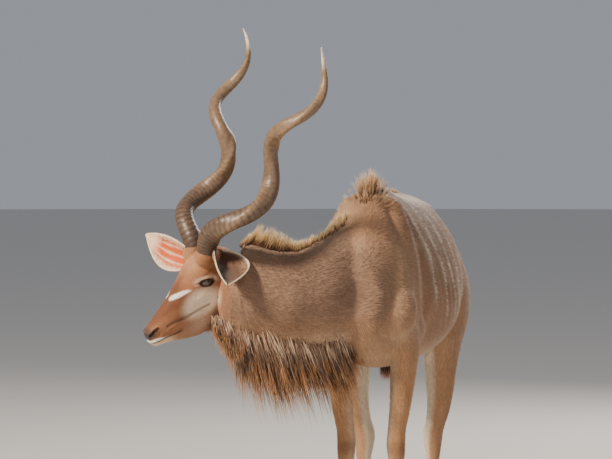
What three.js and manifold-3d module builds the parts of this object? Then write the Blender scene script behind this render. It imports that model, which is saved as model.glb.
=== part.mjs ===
// A greater kudu bull as a still, life-size model, standing square and looking to its right.
// Millimetres, +Z up, the body faces -Y and its left side is +X. The origin is at the centre of the base.
// Flesh is lofted through smooth sections, joined whole and parted again by thin cuts, so that
// neighbouring pieces meet face to face. Mane, crest, throat fringe and tail tuft are tapered locks.
import * as THREE from "three";
import { mergeVertices } from "three/addons/utils/BufferGeometryUtils.js";
import Module from "manifold-3d";

const wasm = await Module();
wasm.setup();

// Driving sizes of the animal
const WITHERS = 1455;
const CROUP = 1405;
const BRISKET = 765;
const SHOULDER_HALF = 188;
const BARREL_HALF = 284;
const HAUNCH_HALF = 252;
const HEAD_HALF = 80;
const EYE_RADIUS = 24;
const HORN_LENGTH = 895;
const HORN_BASE = 41;
const EAR_LENGTH = 230;
const GAP = 0.3;
const HUGE = 3000;

// Colours of the coat, horn and eye
const COAT = 0xa3806a;
const HORN_COLOUR = 0x5b4a3f;
const HOOF_COLOUR = 0x2a2320;
const EYE_COLOUR = 0x120c0a;

const V = (x, y, z) => new THREE.Vector3(x, y, z);
const lerp = THREE.MathUtils.lerp;
const clamp01 = (t) => Math.min(1, Math.max(0, t));
const degrees = THREE.MathUtils.degToRad;

// A seeded draw from -1 to 1, so that locks vary alike on every run.
let seed = 20240;
function vary() {
  seed = (seed * 1103515245 + 12345) % 2147483648;
  return (seed / 2147483648) * 2 - 1;
}

// Rows are [key, value, value, ...]. Returns the values at a key on a smooth cubic through them.
function rowAt(rows, key) {
  let i = 0;
  while (i < rows.length - 2 && key > rows[i + 1][0]) i += 1;
  const slope = (k, c) => {
    const a = rows[Math.max(0, k - 1)];
    const b = rows[Math.min(rows.length - 1, k + 1)];
    return (b[c] - a[c]) / (b[0] - a[0]);
  };
  const [a, b] = [rows[i], rows[i + 1]];
  const h = b[0] - a[0];
  const t = clamp01((key - a[0]) / h);
  const t2 = t * t;
  const t3 = t2 * t;
  return a.slice(1).map((_, k) => {
    const c = k + 1;
    return (
      (2 * t3 - 3 * t2 + 1) * a[c] +
      (t3 - 2 * t2 + t) * h * slope(i, c) +
      (3 * t2 - 2 * t3) * b[c] +
      (t3 - t2) * h * slope(i + 1, c)
    );
  });
}

// One section: a superellipse with its own rise, drop and squareness above and below its centre.
function section({ centre, side, up, half, rise, drop, top = 2, low = 2 }, count) {
  return Array.from({ length: count }, (_, k) => {
    const angle = (2 * Math.PI * (k + 0.5)) / count;
    const [c, s] = [Math.cos(angle), Math.sin(angle)];
    const power = 2 / (s >= 0 ? top : low);
    const across = half * Math.sign(c) * Math.abs(c) ** power;
    const high = (s >= 0 ? rise : drop) * Math.sign(s) * Math.abs(s) ** power;
    return centre.clone().addScaledVector(side, across).addScaledVector(up, high);
  });
}

// A closed geometry through rings of equal count. Each end is fanned to its middle, or for a ring
// that goes out along one arc and back along another, filled by a strip between the two arcs.
function loft(rings, folded = false) {
  const n = rings[0].length;
  const last = (rings.length - 1) * n;
  const middle = (ring) => ring.reduce((sum, p) => sum.add(p), V(0, 0, 0)).divideScalar(n);
  const points = folded ? rings.flat() : [...rings.flat(), middle(rings[0]), middle(rings.at(-1))];
  const faces = [];
  for (let k = 0; k < n; k += 1) {
    const next = (k + 1) % n;
    for (let r = 0; r < rings.length - 1; r += 1) {
      const [a, b] = [r * n + k, r * n + next];
      faces.push(a, b, b + n, a, b + n, a + n);
    }
    if (!folded) faces.push(next, k, points.length - 2, last + k, last + next, points.length - 1);
  }
  for (let k = 0; folded && k < n / 2 - 1; k += 1) {
    const [a, b, c, d] = [k, k + 1, n - 2 - k, n - 1 - k];
    faces.push(b, a, d, b, d, c, last + a, last + b, last + d, last + b, last + c, last + d);
  }
  return new THREE.BufferGeometry().setFromPoints(points).setIndex(faces);
}

// A three.js geometry as a solid. A loft that runs the other way round is turned outside out.
function solid(geometry) {
  const bare = geometry.clone();
  bare.deleteAttribute("normal");
  bare.deleteAttribute("uv");
  const merged = mergeVertices(bare, 1e-3);
  const triVerts = new Uint32Array(merged.index.array);
  const make = () =>
    new wasm.Manifold(
      new wasm.Mesh({ numProp: 3, vertProperties: merged.attributes.position.array, triVerts }),
    );
  const made = make();
  if (made.volume() > 0) return made;
  for (let i = 0; i < triVerts.length; i += 3) {
    [triVerts[i], triVerts[i + 1]] = [triVerts[i + 1], triVerts[i]];
  }
  return make();
}

const join = (solids) => solids.reduce((all, one) => all.add(one));
const largest = (made) =>
  made.decompose().reduce((best, one) => (one.volume() > best.volume() ? one : best));

// Everything on one side of a plane, less half of the gap between neighbours.
function beyond(point, normal) {
  const box = new THREE.BoxGeometry(HUGE, HUGE, HUGE);
  const n = normal.clone().normalize();
  box.translate(0, 0, HUGE / 2 + GAP / 2);
  box.applyQuaternion(new THREE.Quaternion().setFromUnitVectors(V(0, 0, 1), n));
  box.translate(point.x, point.y, point.z);
  return solid(box);
}

// Torso: [y, top, low, half width, height of the widest place, squareness above, below]
const TORSO = [
  [-640, 1150, 960, 60, 1050, 2, 2],
  [-600, 1225, 870, 100, 1050, 2, 2],
  [-530, 1320, 800, 140, 1050, 2, 2],
  [-440, 1425, 772, 166, 1045, 1.8, 2],
  [-350, WITHERS, BRISKET, SHOULDER_HALF, 1040, 1.75, 2],
  [-250, WITHERS - 8, 755, 215, 1030, 1.8, 2.1],
  [-100, 1428, 755, 258, 1010, 1.9, 2.2],
  [60, 1414, 762, BARREL_HALF, 1000, 2, 2.2],
  [210, 1410, 785, 282, 1010, 2.05, 2.1],
  [350, CROUP, 835, 268, 1040, 2, 2],
  [470, 1393, 900, HAUNCH_HALF, 1070, 1.9, 2],
  [560, 1358, 955, 212, 1090, 1.8, 2],
  [620, 1322, 990, 170, 1120, 1.9, 2],
  [662, 1268, 1040, 112, 1150, 2, 2],
  [680, 1222, 1095, 52, 1165, 2, 2],
];

function torsoSection(y) {
  const [top, low, half, wide, squareTop, squareLow] = rowAt(TORSO, y);
  return {
    centre: V(0, y, wide),
    side: V(1, 0, 0),
    up: V(0, 0, 1),
    half,
    rise: top - wide,
    drop: wide - low,
    top: squareTop,
    low: squareLow,
  };
}

function makeTorso() {
  const [front, back] = [TORSO[0][0], TORSO.at(-1)[0]];
  const steps = 22;
  const rings = Array.from({ length: steps + 1 }, (_, i) => {
    const even = i / steps;
    const rounded = (1 - Math.cos(Math.PI * even)) / 2;
    return section(torsoSection(lerp(front, back, (even + rounded) / 2)), 24);
  });
  return solid(loft(rings));
}

// Legs, left side: [height, outwards, backwards, half width across, half depth along the body]
const FORELEG = [
  [66, 95, -436, 27, 35],
  [90, 95, -427, 24, 29],
  [120, 96, -414, 25, 30],
  [152, 97, -403, 29, 35],
  [190, 98, -402, 23, 29],
  [260, 100, -404, 21, 26],
  [345, 102, -407, 22, 28],
  [395, 104, -410, 28, 34],
  [435, 105, -413, 34, 39],
  [475, 103, -411, 37, 39],
  [525, 105, -407, 36, 38],
  [610, 116, -401, 40, 47],
  [710, 124, -393, 47, 63],
  [785, 128, -386, 54, 82],
  [850, 130, -388, 60, 105],
  [930, 124, -418, 62, 126],
  [1020, 116, -440, 66, 132],
  [1150, 108, -428, 64, 122],
  [1290, 88, -400, 50, 92],
  [1400, 60, -372, 28, 55],
];
// The hind rows also give the turn of the leg about its length in degrees, which brings the hocks together.
const HINDLEG = [
  [66, 118, 545, 28, 36, 0],
  [90, 118, 553, 25, 30, 2],
  [120, 118, 564, 26, 31, 4],
  [155, 119, 574, 30, 37, 6],
  [195, 120, 580, 25, 31, 8],
  [290, 123, 590, 24, 30, 14],
  [355, 126, 599, 31, 36, 19],
  [405, 125, 606, 38, 46, 22],
  [445, 127, 606, 40, 54, 22],
  [485, 139, 596, 41, 54, 21],
  [530, 151, 572, 46, 52, 19],
  [600, 161, 542, 52, 64, 16],
  [700, 167, 505, 64, 94, 9],
  [810, 177, 474, 80, 134, 0],
  [910, 188, 456, 97, 162, 0],
  [1000, 191, 452, 100, 182, 0],
  [1060, 186, 452, 97, 186, 0],
  [1130, 168, 455, 92, 186, 0],
  [1250, 134, 450, 74, 160, 0],
  [1345, 90, 440, 44, 108, 0],
];
const HIP_HEIGHT = 1150;

// A leg swings from the hip or shoulder: stride moves its foot along the body, splay moves it outwards.
function legSection(rows, z, { sign, stride, splay }) {
  const [out, back, half, depth, turn = 0] = rowAt(rows, z);
  const swing = clamp01(1 - z / HIP_HEIGHT);
  const angle = sign * degrees(turn);
  return {
    centre: V(sign * (out + splay * swing), back + stride * swing, z),
    side: V(Math.cos(angle), Math.sin(angle), 0),
    up: V(-Math.sin(angle), Math.cos(angle), 0),
    half,
    rise: depth,
    drop: depth,
  };
}

function makeLeg(rows, stance) {
  const heights = rows.map((row) => row[0]);
  const rings = heights.map((z) => section(legSection(rows, z, stance), 14));
  return solid(loft(rings));
}

const STANCES = {
  foreleg_left: { rows: FORELEG, sign: 1, stride: 0, splay: -8 },
  foreleg_right: { rows: FORELEG, sign: -1, stride: 10, splay: -22 },
  hindleg_left: { rows: HINDLEG, sign: 1, stride: 10, splay: 0 },
  hindleg_right: { rows: HINDLEG, sign: -1, stride: -190, splay: 12 },
};

// The zone of a leg, as an outline across the body run along it. grow widens it by the gap.
function legZone({ rows, sign }, grow) {
  const fore = rows === FORELEG;
  const [inner, groin, outer] = fore ? [8, 765, 905] : [8, 850, 1090];
  const outline = new THREE.Shape([
    new THREE.Vector2(inner - grow, -50),
    new THREE.Vector2(inner - grow, groin + grow),
    new THREE.Vector2(60 - grow, groin + 6 + grow),
    new THREE.Vector2(330, outer + grow),
    new THREE.Vector2(330, -50),
  ]);
  const [start, end] = fore ? [-750, -150] : [255, 900];
  const prism = new THREE.ExtrudeGeometry(outline, { depth: end - start, bevelEnabled: false });
  prism.rotateX(Math.PI / 2);
  prism.translate(0, end, 0);
  if (sign < 0) prism.scale(-1, 1, 1);
  return solid(prism);
}

// Hoof: two toes, drawn together at the coronet, with flat soles at the floor.
const TOE = [
  [0, 17.5, 448, 16, 50],
  [8, 17.5, 448, 16.5, 49],
  [38, 15.5, 442, 15, 41],
  [60, 14, 437, 13.5, 34],
  [66 - GAP, 13.8, 436, 13, 32.5],
];

function makeHoof({ rows, sign, stride, splay }) {
  const fore = rows === FORELEG;
  const [out, back] = rows[0].slice(1);
  const swing = clamp01(1 - rows[0][0] / HIP_HEIGHT);
  const middle = V(sign * (out + splay * swing), back + stride * swing, 0);
  const toe = (turn) =>
    solid(
      loft(
        TOE.map(([z, apart, ahead, half, depth]) =>
          section(
            {
              centre: V(middle.x + turn * apart, middle.y - (ahead - 436), z),
              side: V(1, 0, 0),
              up: V(0, 1, 0),
              half,
              rise: depth * (fore ? 1 : 0.96),
              drop: depth * (fore ? 1 : 0.96),
              top: 2.4,
              low: 1.7,
            },
            10,
          ),
        ),
      ),
    );
  const bulb = new THREE.BoxGeometry(14, 34, 26);
  bulb.translate(middle.x, middle.y + 6, 66 - GAP - 13);
  return join([toe(1), toe(-1), solid(bulb)]);
}

// Neck: a curve from inside the chest round to the nape, with its depth and width along the way.
const NECK_PATH = new THREE.CatmullRomCurve3(
  [
    V(-30, -290, 1140),
    V(-75, -440, 1110),
    V(-140, -560, 1075),
    V(-240, -640, 1045),
    V(-372, -692, 1052),
    V(-470, -700, 1085),
    V(-550, -690, 1120),
  ],
  false,
  "centripetal",
);
// [along, half depth above, below, half width]
const NECK = [
  [0, 262, 250, 128],
  [0.22, 205, 262, 140],
  [0.42, 174, 228, 138],
  [0.58, 172, 186, 124],
  [0.78, 174, 168, 108],
  [0.92, 146, 148, 96],
  [1, 100, 118, 78],
];

function neckSection(t) {
  const [above, below, half] = rowAt(NECK, t);
  const along = NECK_PATH.getTangent(t);
  const side = V(0, 0, 1).cross(along).normalize();
  const up = along.clone().cross(side).normalize();
  return { centre: NECK_PATH.getPoint(t), side, up, half, rise: above, drop: below, top: 1.85, low: 1.85 };
}

function makeNeck() {
  const steps = 12;
  const rings = Array.from({ length: steps + 1 }, (_, i) => section(neckSection(i / steps), 20));
  return solid(loft(rings));
}

// The head has its own frame: +X to the nose, +Y to its left, +Z to its crown, with the eyes at x = 0.
const HEAD_AT = V(-600, -710, 1107);
const HEAD_TURN = degrees(60.2);
const HEAD_PITCH = degrees(39.5);
const HEAD_ROLL = degrees(-8.8);

function headMatrix() {
  const ahead = V(-Math.sin(HEAD_TURN), -Math.cos(HEAD_TURN), 0);
  const x = ahead
    .clone()
    .multiplyScalar(Math.cos(HEAD_PITCH))
    .addScaledVector(V(0, 0, -1), Math.sin(HEAD_PITCH));
  const y = V(0, 0, 1).cross(ahead);
  const z = x.clone().cross(y);
  const [c, s] = [Math.cos(HEAD_ROLL), Math.sin(HEAD_ROLL)];
  const left = y.clone().multiplyScalar(c).addScaledVector(z, s);
  const crown = z.clone().multiplyScalar(c).addScaledVector(y, -s);
  return new THREE.Matrix4().makeBasis(x, left, crown).setPosition(HEAD_AT);
}
const HEAD_MATRIX = headMatrix();
const placed = (made) => made.transform(HEAD_MATRIX.toArray());

// Head: [x, top, low, half width, height of the widest place, squareness above, below]
const HEAD = [
  [-150, 30, -70, 52, -15, 2, 2],
  [-125, 58, -120, 66, -12, 2, 2],
  [-85, 80, -164, 74, -6, 2, 2],
  [-45, 88, -182, 77, 0, 2.1, 1.9],
  [-10, 83, -184, HEAD_HALF, 6, 2.2, 1.8],
  [30, 70, -180, 74, 4, 2.3, 1.8],
  [70, 54, -176, 62, -10, 2.3, 1.8],
  [120, 38, -166, 50, -26, 2.3, 1.9],
  [155, 29, -151, 45, -34, 2.3, 2],
  [190, 20, -131, 41, -38, 2.3, 2.1],
  [235, 9, -104, 37, -43, 2.3, 2.1],
  [268, 0, -88, 36, -45, 2.4, 2.1],
  [287, -8, -73, 31, -43, 2.3, 2.2],
  [297, -20, -59, 18, -41, 2, 2],
];

function headSection(x) {
  const [top, low, half, wide, squareTop, squareLow] = rowAt(HEAD, x);
  return {
    centre: V(x, 0, wide),
    side: V(0, 1, 0),
    up: V(0, 0, 1),
    half,
    rise: top - wide,
    drop: wide - low,
    top: squareTop,
    low: squareLow,
  };
}

const EYE_AT = V(2, 59, 4);
const LID_THICK = 4;
const LID_TILT = degrees(-27);

function ball(radius, centre, detail = 12) {
  const made = new THREE.SphereGeometry(radius, detail, Math.round(detail * 0.7));
  made.translate(centre.x, centre.y, centre.z);
  return solid(made);
}

// The parting between the lids: a pointed almond, long and lifted towards the nose, run out through the lid.
function lidOpening(turn) {
  const [long, high] = [26, 14];
  const outline = new THREE.Shape();
  outline.moveTo(-long, 0);
  outline.quadraticCurveTo(-4, high * 2, long + 4, -3);
  outline.quadraticCurveTo(-2, -high * 1.7, -long, 0);
  const prism = new THREE.ExtrudeGeometry(outline, { depth: 60, bevelEnabled: false, curveSegments: 6 });
  prism.rotateX(Math.PI / 2);
  prism.rotateY(LID_TILT);
  prism.translate(EYE_AT.x, EYE_AT.y + 66, EYE_AT.z);
  if (turn < 0) prism.scale(1, -1, 1);
  return solid(prism);
}

// Nostril: a slanted slot sunk into each side of the nose.
function nostril(turn) {
  const made = new THREE.SphereGeometry(1, 12, 8);
  made.scale(20, 10, 7.5);
  made.rotateY(degrees(4));
  made.rotateZ(degrees(-12));
  made.translate(269, 33, -20);
  if (turn < 0) made.scale(1, -1, 1);
  return solid(made);
}

// The line of the mouth: a thin blade along the lips, sunk into both sides and round the front.
const MOUTH = [
  [330, -62],
  [290, -60],
  [255, -66],
  [215, -78],
  [180, -86],
];

function mouthBlade(turn) {
  const rings = MOUTH.map(([x, z]) => {
    const half = rowAt(HEAD, Math.min(x, 296))[2];
    const deep = turn * (half - (x > 280 ? 30 : 9));
    const outer = turn * (half + 20);
    return [V(x, deep, z), V(x, outer, z - 2.4), V(x, outer, z + 2.4)];
  });
  return solid(loft(rings));
}

function makeHead() {
  const [back, front] = [HEAD[0][0], HEAD.at(-1)[0]];
  const steps = 21;
  const rings = Array.from({ length: steps + 1 }, (_, i) =>
    section(headSection(lerp(back, front, i / steps)), 20),
  );
  const pieces = [solid(loft(rings))];
  for (const turn of [1, -1]) {
    pieces.push(ball(EYE_RADIUS + LID_THICK, V(EYE_AT.x, turn * EYE_AT.y, EYE_AT.z)));
    // The brow, the cheek muscle and the flare of the nostril
    pieces.push(lobe([-14, turn * 52, 34], [42, 24, 22]));
    pieces.push(lobe([-25, turn * 44, -85], [70, 30, 52]));
    pieces.push(lobe([266, turn * 24, -22], [24, 16, 15]));
  }
  // The chin, set back under the lip
  pieces.push(lobe([262, 0, -73], [32, 25, 14]), ...makeBeard());
  return placed(join(pieces));
}

// What is sunk into the head: the eye sockets, the parting of the lids, the nostrils and the mouth
function headCuts() {
  const cuts = [1, -1].flatMap((turn) => [
    ball(EYE_RADIUS + GAP, V(EYE_AT.x, turn * EYE_AT.y, EYE_AT.z)),
    lidOpening(turn),
    nostril(turn),
    mouthBlade(turn),
  ]);
  return placed(join(cuts));
}

function lobe([x, y, z], [a, b, c]) {
  const made = new THREE.SphereGeometry(1, 10, 6);
  made.scale(a, b, c);
  made.translate(x, y, z);
  return solid(made);
}

const makeEye = (turn) => placed(ball(EYE_RADIUS, V(EYE_AT.x, turn * EYE_AT.y, EYE_AT.z)));

// Horns: an open spiral about a leaning axis, with a keel that winds once for each turn.
const HORN_AT = V(-64, 51, 78);
const HORN_BACK = degrees(61.2);
const HORN_OUT = degrees(17);
const HORN_TURNS = 2.08;
const HORN_COIL = [54, 44];
const HORN_PHASE = degrees(75);
const HORN_BOW = 32;
const HORN_KEEL_START = degrees(200);
const HORN_ROOT = -0.045;
// [along, radius as a share of the base]
const HORN_TAPER = [
  [0, 1.02],
  [0.06, 0.98],
  [0.3, 0.86],
  [0.55, 0.7],
  [0.78, 0.5],
  [0.92, 0.26],
  [1, 0.05],
];

function hornPoint(t) {
  const axis = V(
    -Math.sin(HORN_BACK) * Math.cos(HORN_OUT),
    Math.sin(HORN_OUT),
    Math.cos(HORN_BACK) * Math.cos(HORN_OUT),
  );
  const first = axis.clone().cross(V(0, 1, 0)).normalize();
  const second = axis.clone().cross(first);
  const round = (angle) =>
    first
      .clone()
      .multiplyScalar(Math.cos(angle))
      .addScaledVector(second, Math.sin(angle));
  const coil = lerp(...HORN_COIL, t);
  return HORN_AT.clone()
    .addScaledVector(axis, HORN_LENGTH * t)
    .addScaledVector(round(HORN_PHASE + 2 * Math.PI * HORN_TURNS * t), coil)
    .addScaledVector(round(HORN_PHASE), -HORN_COIL[0])
    .addScaledVector(first, HORN_BOW * 4 * t * (1 - t));
}

function hornRings(count, steps, grow) {
  const rings = [];
  for (let i = 0; i <= steps; i += 1) {
    const t = lerp(HORN_ROOT, 1, i / steps);
    const centre = hornPoint(t);
    const along = hornPoint(t + 0.004).sub(hornPoint(t - 0.004)).normalize();
    const [share] = rowAt(HORN_TAPER, Math.max(0, t));
    const radius = HORN_BASE * share + grow;
    const side = along.clone().cross(V(0, 0, 1)).normalize();
    const up = side.clone().cross(along).normalize();
    const keelAngle = HORN_KEEL_START + 2 * Math.PI * HORN_TURNS * t;
    const ring = Array.from({ length: count }, (_, k) => {
      const angle = (2 * Math.PI * k) / count;
      const keel = Math.max(0, Math.cos(angle)) ** 5;
      const reach = radius * (0.9 + 0.3 * keel);
      const a = angle + keelAngle;
      return centre
        .clone()
        .addScaledVector(side, reach * Math.cos(a))
        .addScaledVector(up, reach * Math.sin(a));
    });
    rings.push(ring);
  }
  return rings;
}

function makeHorn(turn, grow = 0) {
  const geometry = loft(hornRings(10, 42, grow));
  if (turn < 0) geometry.scale(1, -1, 1);
  return placed(solid(geometry));
}

// Ears: a deep cup, rolled to a tube at the root and opening to a broad leaf.
// [along, half width of the leaf, how far the cup wraps round, in degrees]
const EAR = [
  [0, 26, 140],
  [0.12, 36, 118],
  [0.26, 50, 92],
  [0.42, 60, 74],
  [0.6, 58, 62],
  [0.76, 44, 54],
  [0.88, 27, 46],
  [0.97, 10, 40],
  [1, 4, 36],
];
const EAR_THICK = 5;

// The leaf is swept sideways in its own plane, so that one edge is straight and the other is round.
function earRings(steps, { sweep, broad }, grow) {
  const arc = 6;
  return Array.from({ length: steps + 1 }, (_, i) => {
    const t = i / steps;
    const [halfRow, wrapDegrees] = rowAt(EAR, t);
    const half = broad * halfRow;
    const wrap = degrees(wrapDegrees);
    const radius = half / Math.sin(Math.min(wrap, Math.PI / 2));
    const thick = Math.min(EAR_THICK, half * 0.5);
    const aside = sweep * Math.sin(Math.PI * t ** 0.85);
    const at = (r, a) => V(EAR_LENGTH * t, aside + r * Math.sin(a), radius - r * Math.cos(a));
    const edge = wrap + grow / radius;
    const rim = edge - (0.35 * thick) / radius;
    const outer = Array.from({ length: arc + 1 }, (_, k) =>
      at(radius + grow, lerp(-edge, edge, k / arc)),
    );
    const inner = Array.from({ length: arc + 1 }, (_, k) =>
      at(radius - thick - grow, lerp(rim, -rim, k / arc)),
    );
    return [...outer, ...inner];
  });
}

// Each ear's root is in the head's frame. It lies along one way and opens another, in the body's frame:
// the left ear droops ahead with its cup turned up, and the right one is raised with its cup ahead.
const EARS = {
  ear_left: {
    root: V(-70, 54, 40),
    along: V(0.36, -0.87, -0.34),
    open: V(0.28, -0.44, 0.86),
    sweep: 37,
    broad: 1.11,
  },
  ear_right: {
    root: V(-60, -60, 28),
    along: V(-0.9, 0.05, 0.43),
    open: V(0.1, -0.99, -0.1),
    sweep: 22,
    broad: 1,
  },
};

function earMatrix({ root, along, open }) {
  const x = along.clone().normalize();
  const z = open.clone().addScaledVector(x, -open.dot(x)).normalize();
  const y = z.clone().cross(x);
  return new THREE.Matrix4().makeBasis(x, y, z).setPosition(root.clone().applyMatrix4(HEAD_MATRIX));
}

function makeEar(name, grow = 0) {
  const ear = EARS[name];
  const geometry = loft(earRings(10, ear, grow), true);
  geometry.applyMatrix4(earMatrix(ear));
  return solid(geometry);
}

// One lock: flat, tapered and bent from its root towards its tip.
function lock({ root, out, lie, length, width, bend = 0.5, sink = 14, thick = 0.38 }) {
  const steps = length > 150 ? 4 : 3;
  const path = Array.from({ length: steps + 1 }, (_, i) => {
    const t = i / steps;
    return root
      .clone()
      .addScaledVector(out, -sink + (length + sink) * t * (1 - bend * t * 0.5))
      .addScaledVector(lie, length * bend * t * t);
  });
  const rings = path.map((centre, i) => {
    const t = i / steps;
    const along = path[Math.min(steps, i + 1)].clone().sub(path[Math.max(0, i - 1)]).normalize();
    const flat = lie.clone().addScaledVector(along, -lie.dot(along));
    if (flat.length() < 0.05) flat.copy(out).cross(V(0.3, 0.5, 0.2));
    flat.normalize();
    const thin = along.clone().cross(flat).normalize();
    const wide = width * (t < 0.35 ? 1 : 1 - (t - 0.35) / 0.69);
    return [0, 1, 2, 3].map((k) => {
      const angle = (Math.PI * k) / 2;
      return centre
        .clone()
        .addScaledVector(flat, wide * 0.5 * Math.cos(angle))
        .addScaledVector(thin, Math.max(0.8, wide * thick) * 0.5 * Math.sin(angle));
    });
  });
  return solid(loft(rings));
}

// A place on a section's outline at an angle from its side, with the way out of the surface there.
function onSurface(shape, angleDegrees) {
  const angle = degrees(angleDegrees);
  const [c, s] = [Math.cos(angle), Math.sin(angle)];
  const power = 2 / (s >= 0 ? shape.top : shape.low);
  const reach = s >= 0 ? shape.rise : shape.drop;
  const point = shape.centre
    .clone()
    .addScaledVector(shape.side, shape.half * Math.sign(c) * Math.abs(c) ** power)
    .addScaledVector(shape.up, reach * Math.sign(s) * Math.abs(s) ** power);
  const out = shape.side
    .clone()
    .multiplyScalar(c / shape.half)
    .addScaledVector(shape.up, s / reach)
    .normalize();
  return { point, out };
}

// The mane stands along the top of the neck and leans back.
function makeMane() {
  const locks = [];
  const count = 19;
  for (let i = 0; i < count; i += 1) {
    const t = lerp(0.88, 0.2, i / (count - 1));
    const shape = neckSection(t);
    const { point, out } = onSurface(shape, 90 + 3 * vary());
    const back = NECK_PATH.getTangent(t).multiplyScalar(-1);
    const tall = t > 0.5 ? 74 : lerp(32, 66, clamp01((t - 0.2) / 0.3));
    locks.push(
      lock({ root: point, out, lie: back, length: tall * (1 + 0.15 * vary()), width: 42, bend: 0.35 }),
    );
  }
  return locks;
}

// The crest rises to a tuft on the withers and runs low down the back to the tail.
function makeCrest() {
  const locks = [];
  const count = 20;
  for (let i = 0; i < count; i += 1) {
    const y = lerp(-455, 560, (i / (count - 1)) ** 1.15);
    const { point, out } = onSurface(torsoSection(y), 90 + 2 * vary());
    const tuft = clamp01(1 - Math.abs(y + 400) / 130);
    locks.push(
      lock({
        root: point,
        out,
        lie: V(0, 1, 0),
        length: (30 + 48 * tuft) * (1 + 0.15 * vary()),
        width: 46,
        bend: 0.6 - 0.3 * tuft,
      }),
    );
  }
  return locks;
}

// The throat fringe hangs from the underside of the neck in two rows, longest at the middle.
const FRINGE_LENGTH = 305;

function makeFringe() {
  const locks = [];
  const count = 12;
  [-100, -80].forEach((angle, row) => {
    for (let i = 0; i < count; i += 1) {
      const share = (i + row / 2) / (count - 0.5);
      const t = lerp(0.84, 0.3, share);
      const { point } = onSurface(neckSection(t), angle + 4 * vary());
      const length = FRINGE_LENGTH * lerp(0.45, 1, Math.sin(Math.PI * (0.25 + 0.7 * share)));
      locks.push(
        lock({
          root: point,
          out: V(0.03 * vary(), row ? -0.04 : 0.03, -1).normalize(),
          lie: NECK_PATH.getTangent(t).multiplyScalar(-0.3 + 0.15 * vary()),
          length: length * (1 + 0.08 * vary()),
          width: 46,
          bend: 0.25,
          sink: 24,
          thick: 0.3,
        }),
      );
    }
  });
  return locks;
}

// The beard runs on from the fringe under the throat, in the head's frame.
function makeBeard() {
  const down = V(0, 0, -1).transformDirection(HEAD_MATRIX.clone().invert());
  return Array.from({ length: 7 }, (_, i) => {
    const x = lerp(-40, 110, i / 6);
    const { point } = onSurface(headSection(x), -90 + 7 * vary());
    return lock({
      root: point,
      out: down.clone().add(V(0, 0.06 * vary(), 0)).normalize(),
      lie: V(-0.3, 0.1 * vary(), 0),
      length: lerp(135, 60, i / 6) * (1 + 0.1 * vary()),
      width: 32,
      bend: 0.3,
      sink: 16,
      thick: 0.35,
    });
  });
}

// Tail: it hangs behind the rump, with a broad brush at the end.
const TAIL_PATH = new THREE.CatmullRomCurve3([
  V(0, 600, 1292),
  V(0, 668, 1262),
  V(0, 710, 1180),
  V(0, 714, 1030),
  V(0, 706, 880),
]);
const TAIL = [
  [0, 34, 26],
  [0.3, 30, 20],
  [0.6, 27, 15],
  [0.85, 25, 12],
  [1, 12, 7],
];

function tailSection(t) {
  const [half, depth] = rowAt(TAIL, t);
  const along = TAIL_PATH.getTangent(t);
  return {
    centre: TAIL_PATH.getPoint(t),
    side: V(1, 0, 0),
    up: V(1, 0, 0).cross(along).normalize(),
    half,
    rise: depth,
    drop: depth,
    top: 2,
    low: 2,
  };
}

function makeTail() {
  const steps = 10;
  const rings = Array.from({ length: steps + 1 }, (_, i) => section(tailSection(i / steps), 10));
  const tuft = [];
  const count = 10;
  for (let i = 0; i < count; i += 1) {
    const t = lerp(0.62, 0.97, i / (count - 1));
    const { point, out } = onSurface(tailSection(t), i * 137);
    tuft.push(
      lock({
        root: point,
        out: out.multiplyScalar(0.3).add(V(0, 0.02, -1)).normalize(),
        lie: V(0.1 * vary(), 0.1, -0.3),
        length: 105,
        width: 24,
        sink: 16,
        bend: 0.2,
      }),
    );
  }
  return join([solid(loft(rings)), ...tuft]);
}

// The sheath under the belly
const makeSheath = () => {
  const made = new THREE.SphereGeometry(1, 14, 10);
  made.scale(24, 95, 34);
  made.rotateX(degrees(-14));
  made.translate(0, 130, 770);
  return solid(made);
};

// The body, joined whole and then parted
const STEP_NECK = { at: V(-70, -500, 1080), out: V(-0.6, -1, 0) };
const STEP_HEAD = { at: V(-508, -690, 1120), out: V(-1, -0.16, 0.02) };
const STEP_TAIL = { at: V(0, 685, 1225), out: V(0, 1, 0) };

const parts = {};
const legs = Object.entries(STANCES).map(([, stance]) => makeLeg(stance.rows, stance));
const trunk = join([makeTorso(), ...legs, makeSheath(), ...makeCrest()]);
const neck = join([makeNeck(), ...makeMane(), ...makeFringe()]);
const tail = makeTail();

// Horns and ears: each is parted from a stub that stays on the head, and the flesh stands clear of it.
const EAR_STUB = 46;
const HORN_STUB = 0.018;
const stubs = [];
const clear = [];

function partFromHead(name, make, at, way) {
  const back = way.clone().negate();
  parts[name] = make(0).intersect(beyond(at, way));
  stubs.push(make(0).intersect(beyond(at, back)));
  clear.push(make(GAP).intersect(beyond(at.clone().addScaledVector(back, 1.5 * GAP), way)));
}

for (const [side, turn] of [
  ["left", 1],
  ["right", -1],
]) {
  const onSide = (v) => V(v.x, turn * v.y, v.z);
  const hornAt = onSide(hornPoint(HORN_STUB)).applyMatrix4(HEAD_MATRIX);
  const hornWay = onSide(hornPoint(0.03).sub(hornPoint(0.01))).transformDirection(HEAD_MATRIX);
  partFromHead(`horn_${side}`, (grow) => makeHorn(turn, grow), hornAt, hornWay);

  const ear = EARS[`ear_${side}`];
  const earWay = ear.along.clone().normalize();
  const earAt = ear.root.clone().applyMatrix4(HEAD_MATRIX).addScaledVector(earWay, EAR_STUB);
  partFromHead(`ear_${side}`, (grow) => makeEar(`ear_${side}`, grow), earAt, earWay);
  parts[`ear_${side}`] = parts[`ear_${side}`].subtract(makeHorn(turn, GAP));
  parts[`eye_${side}`] = makeEye(turn);
}

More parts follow.
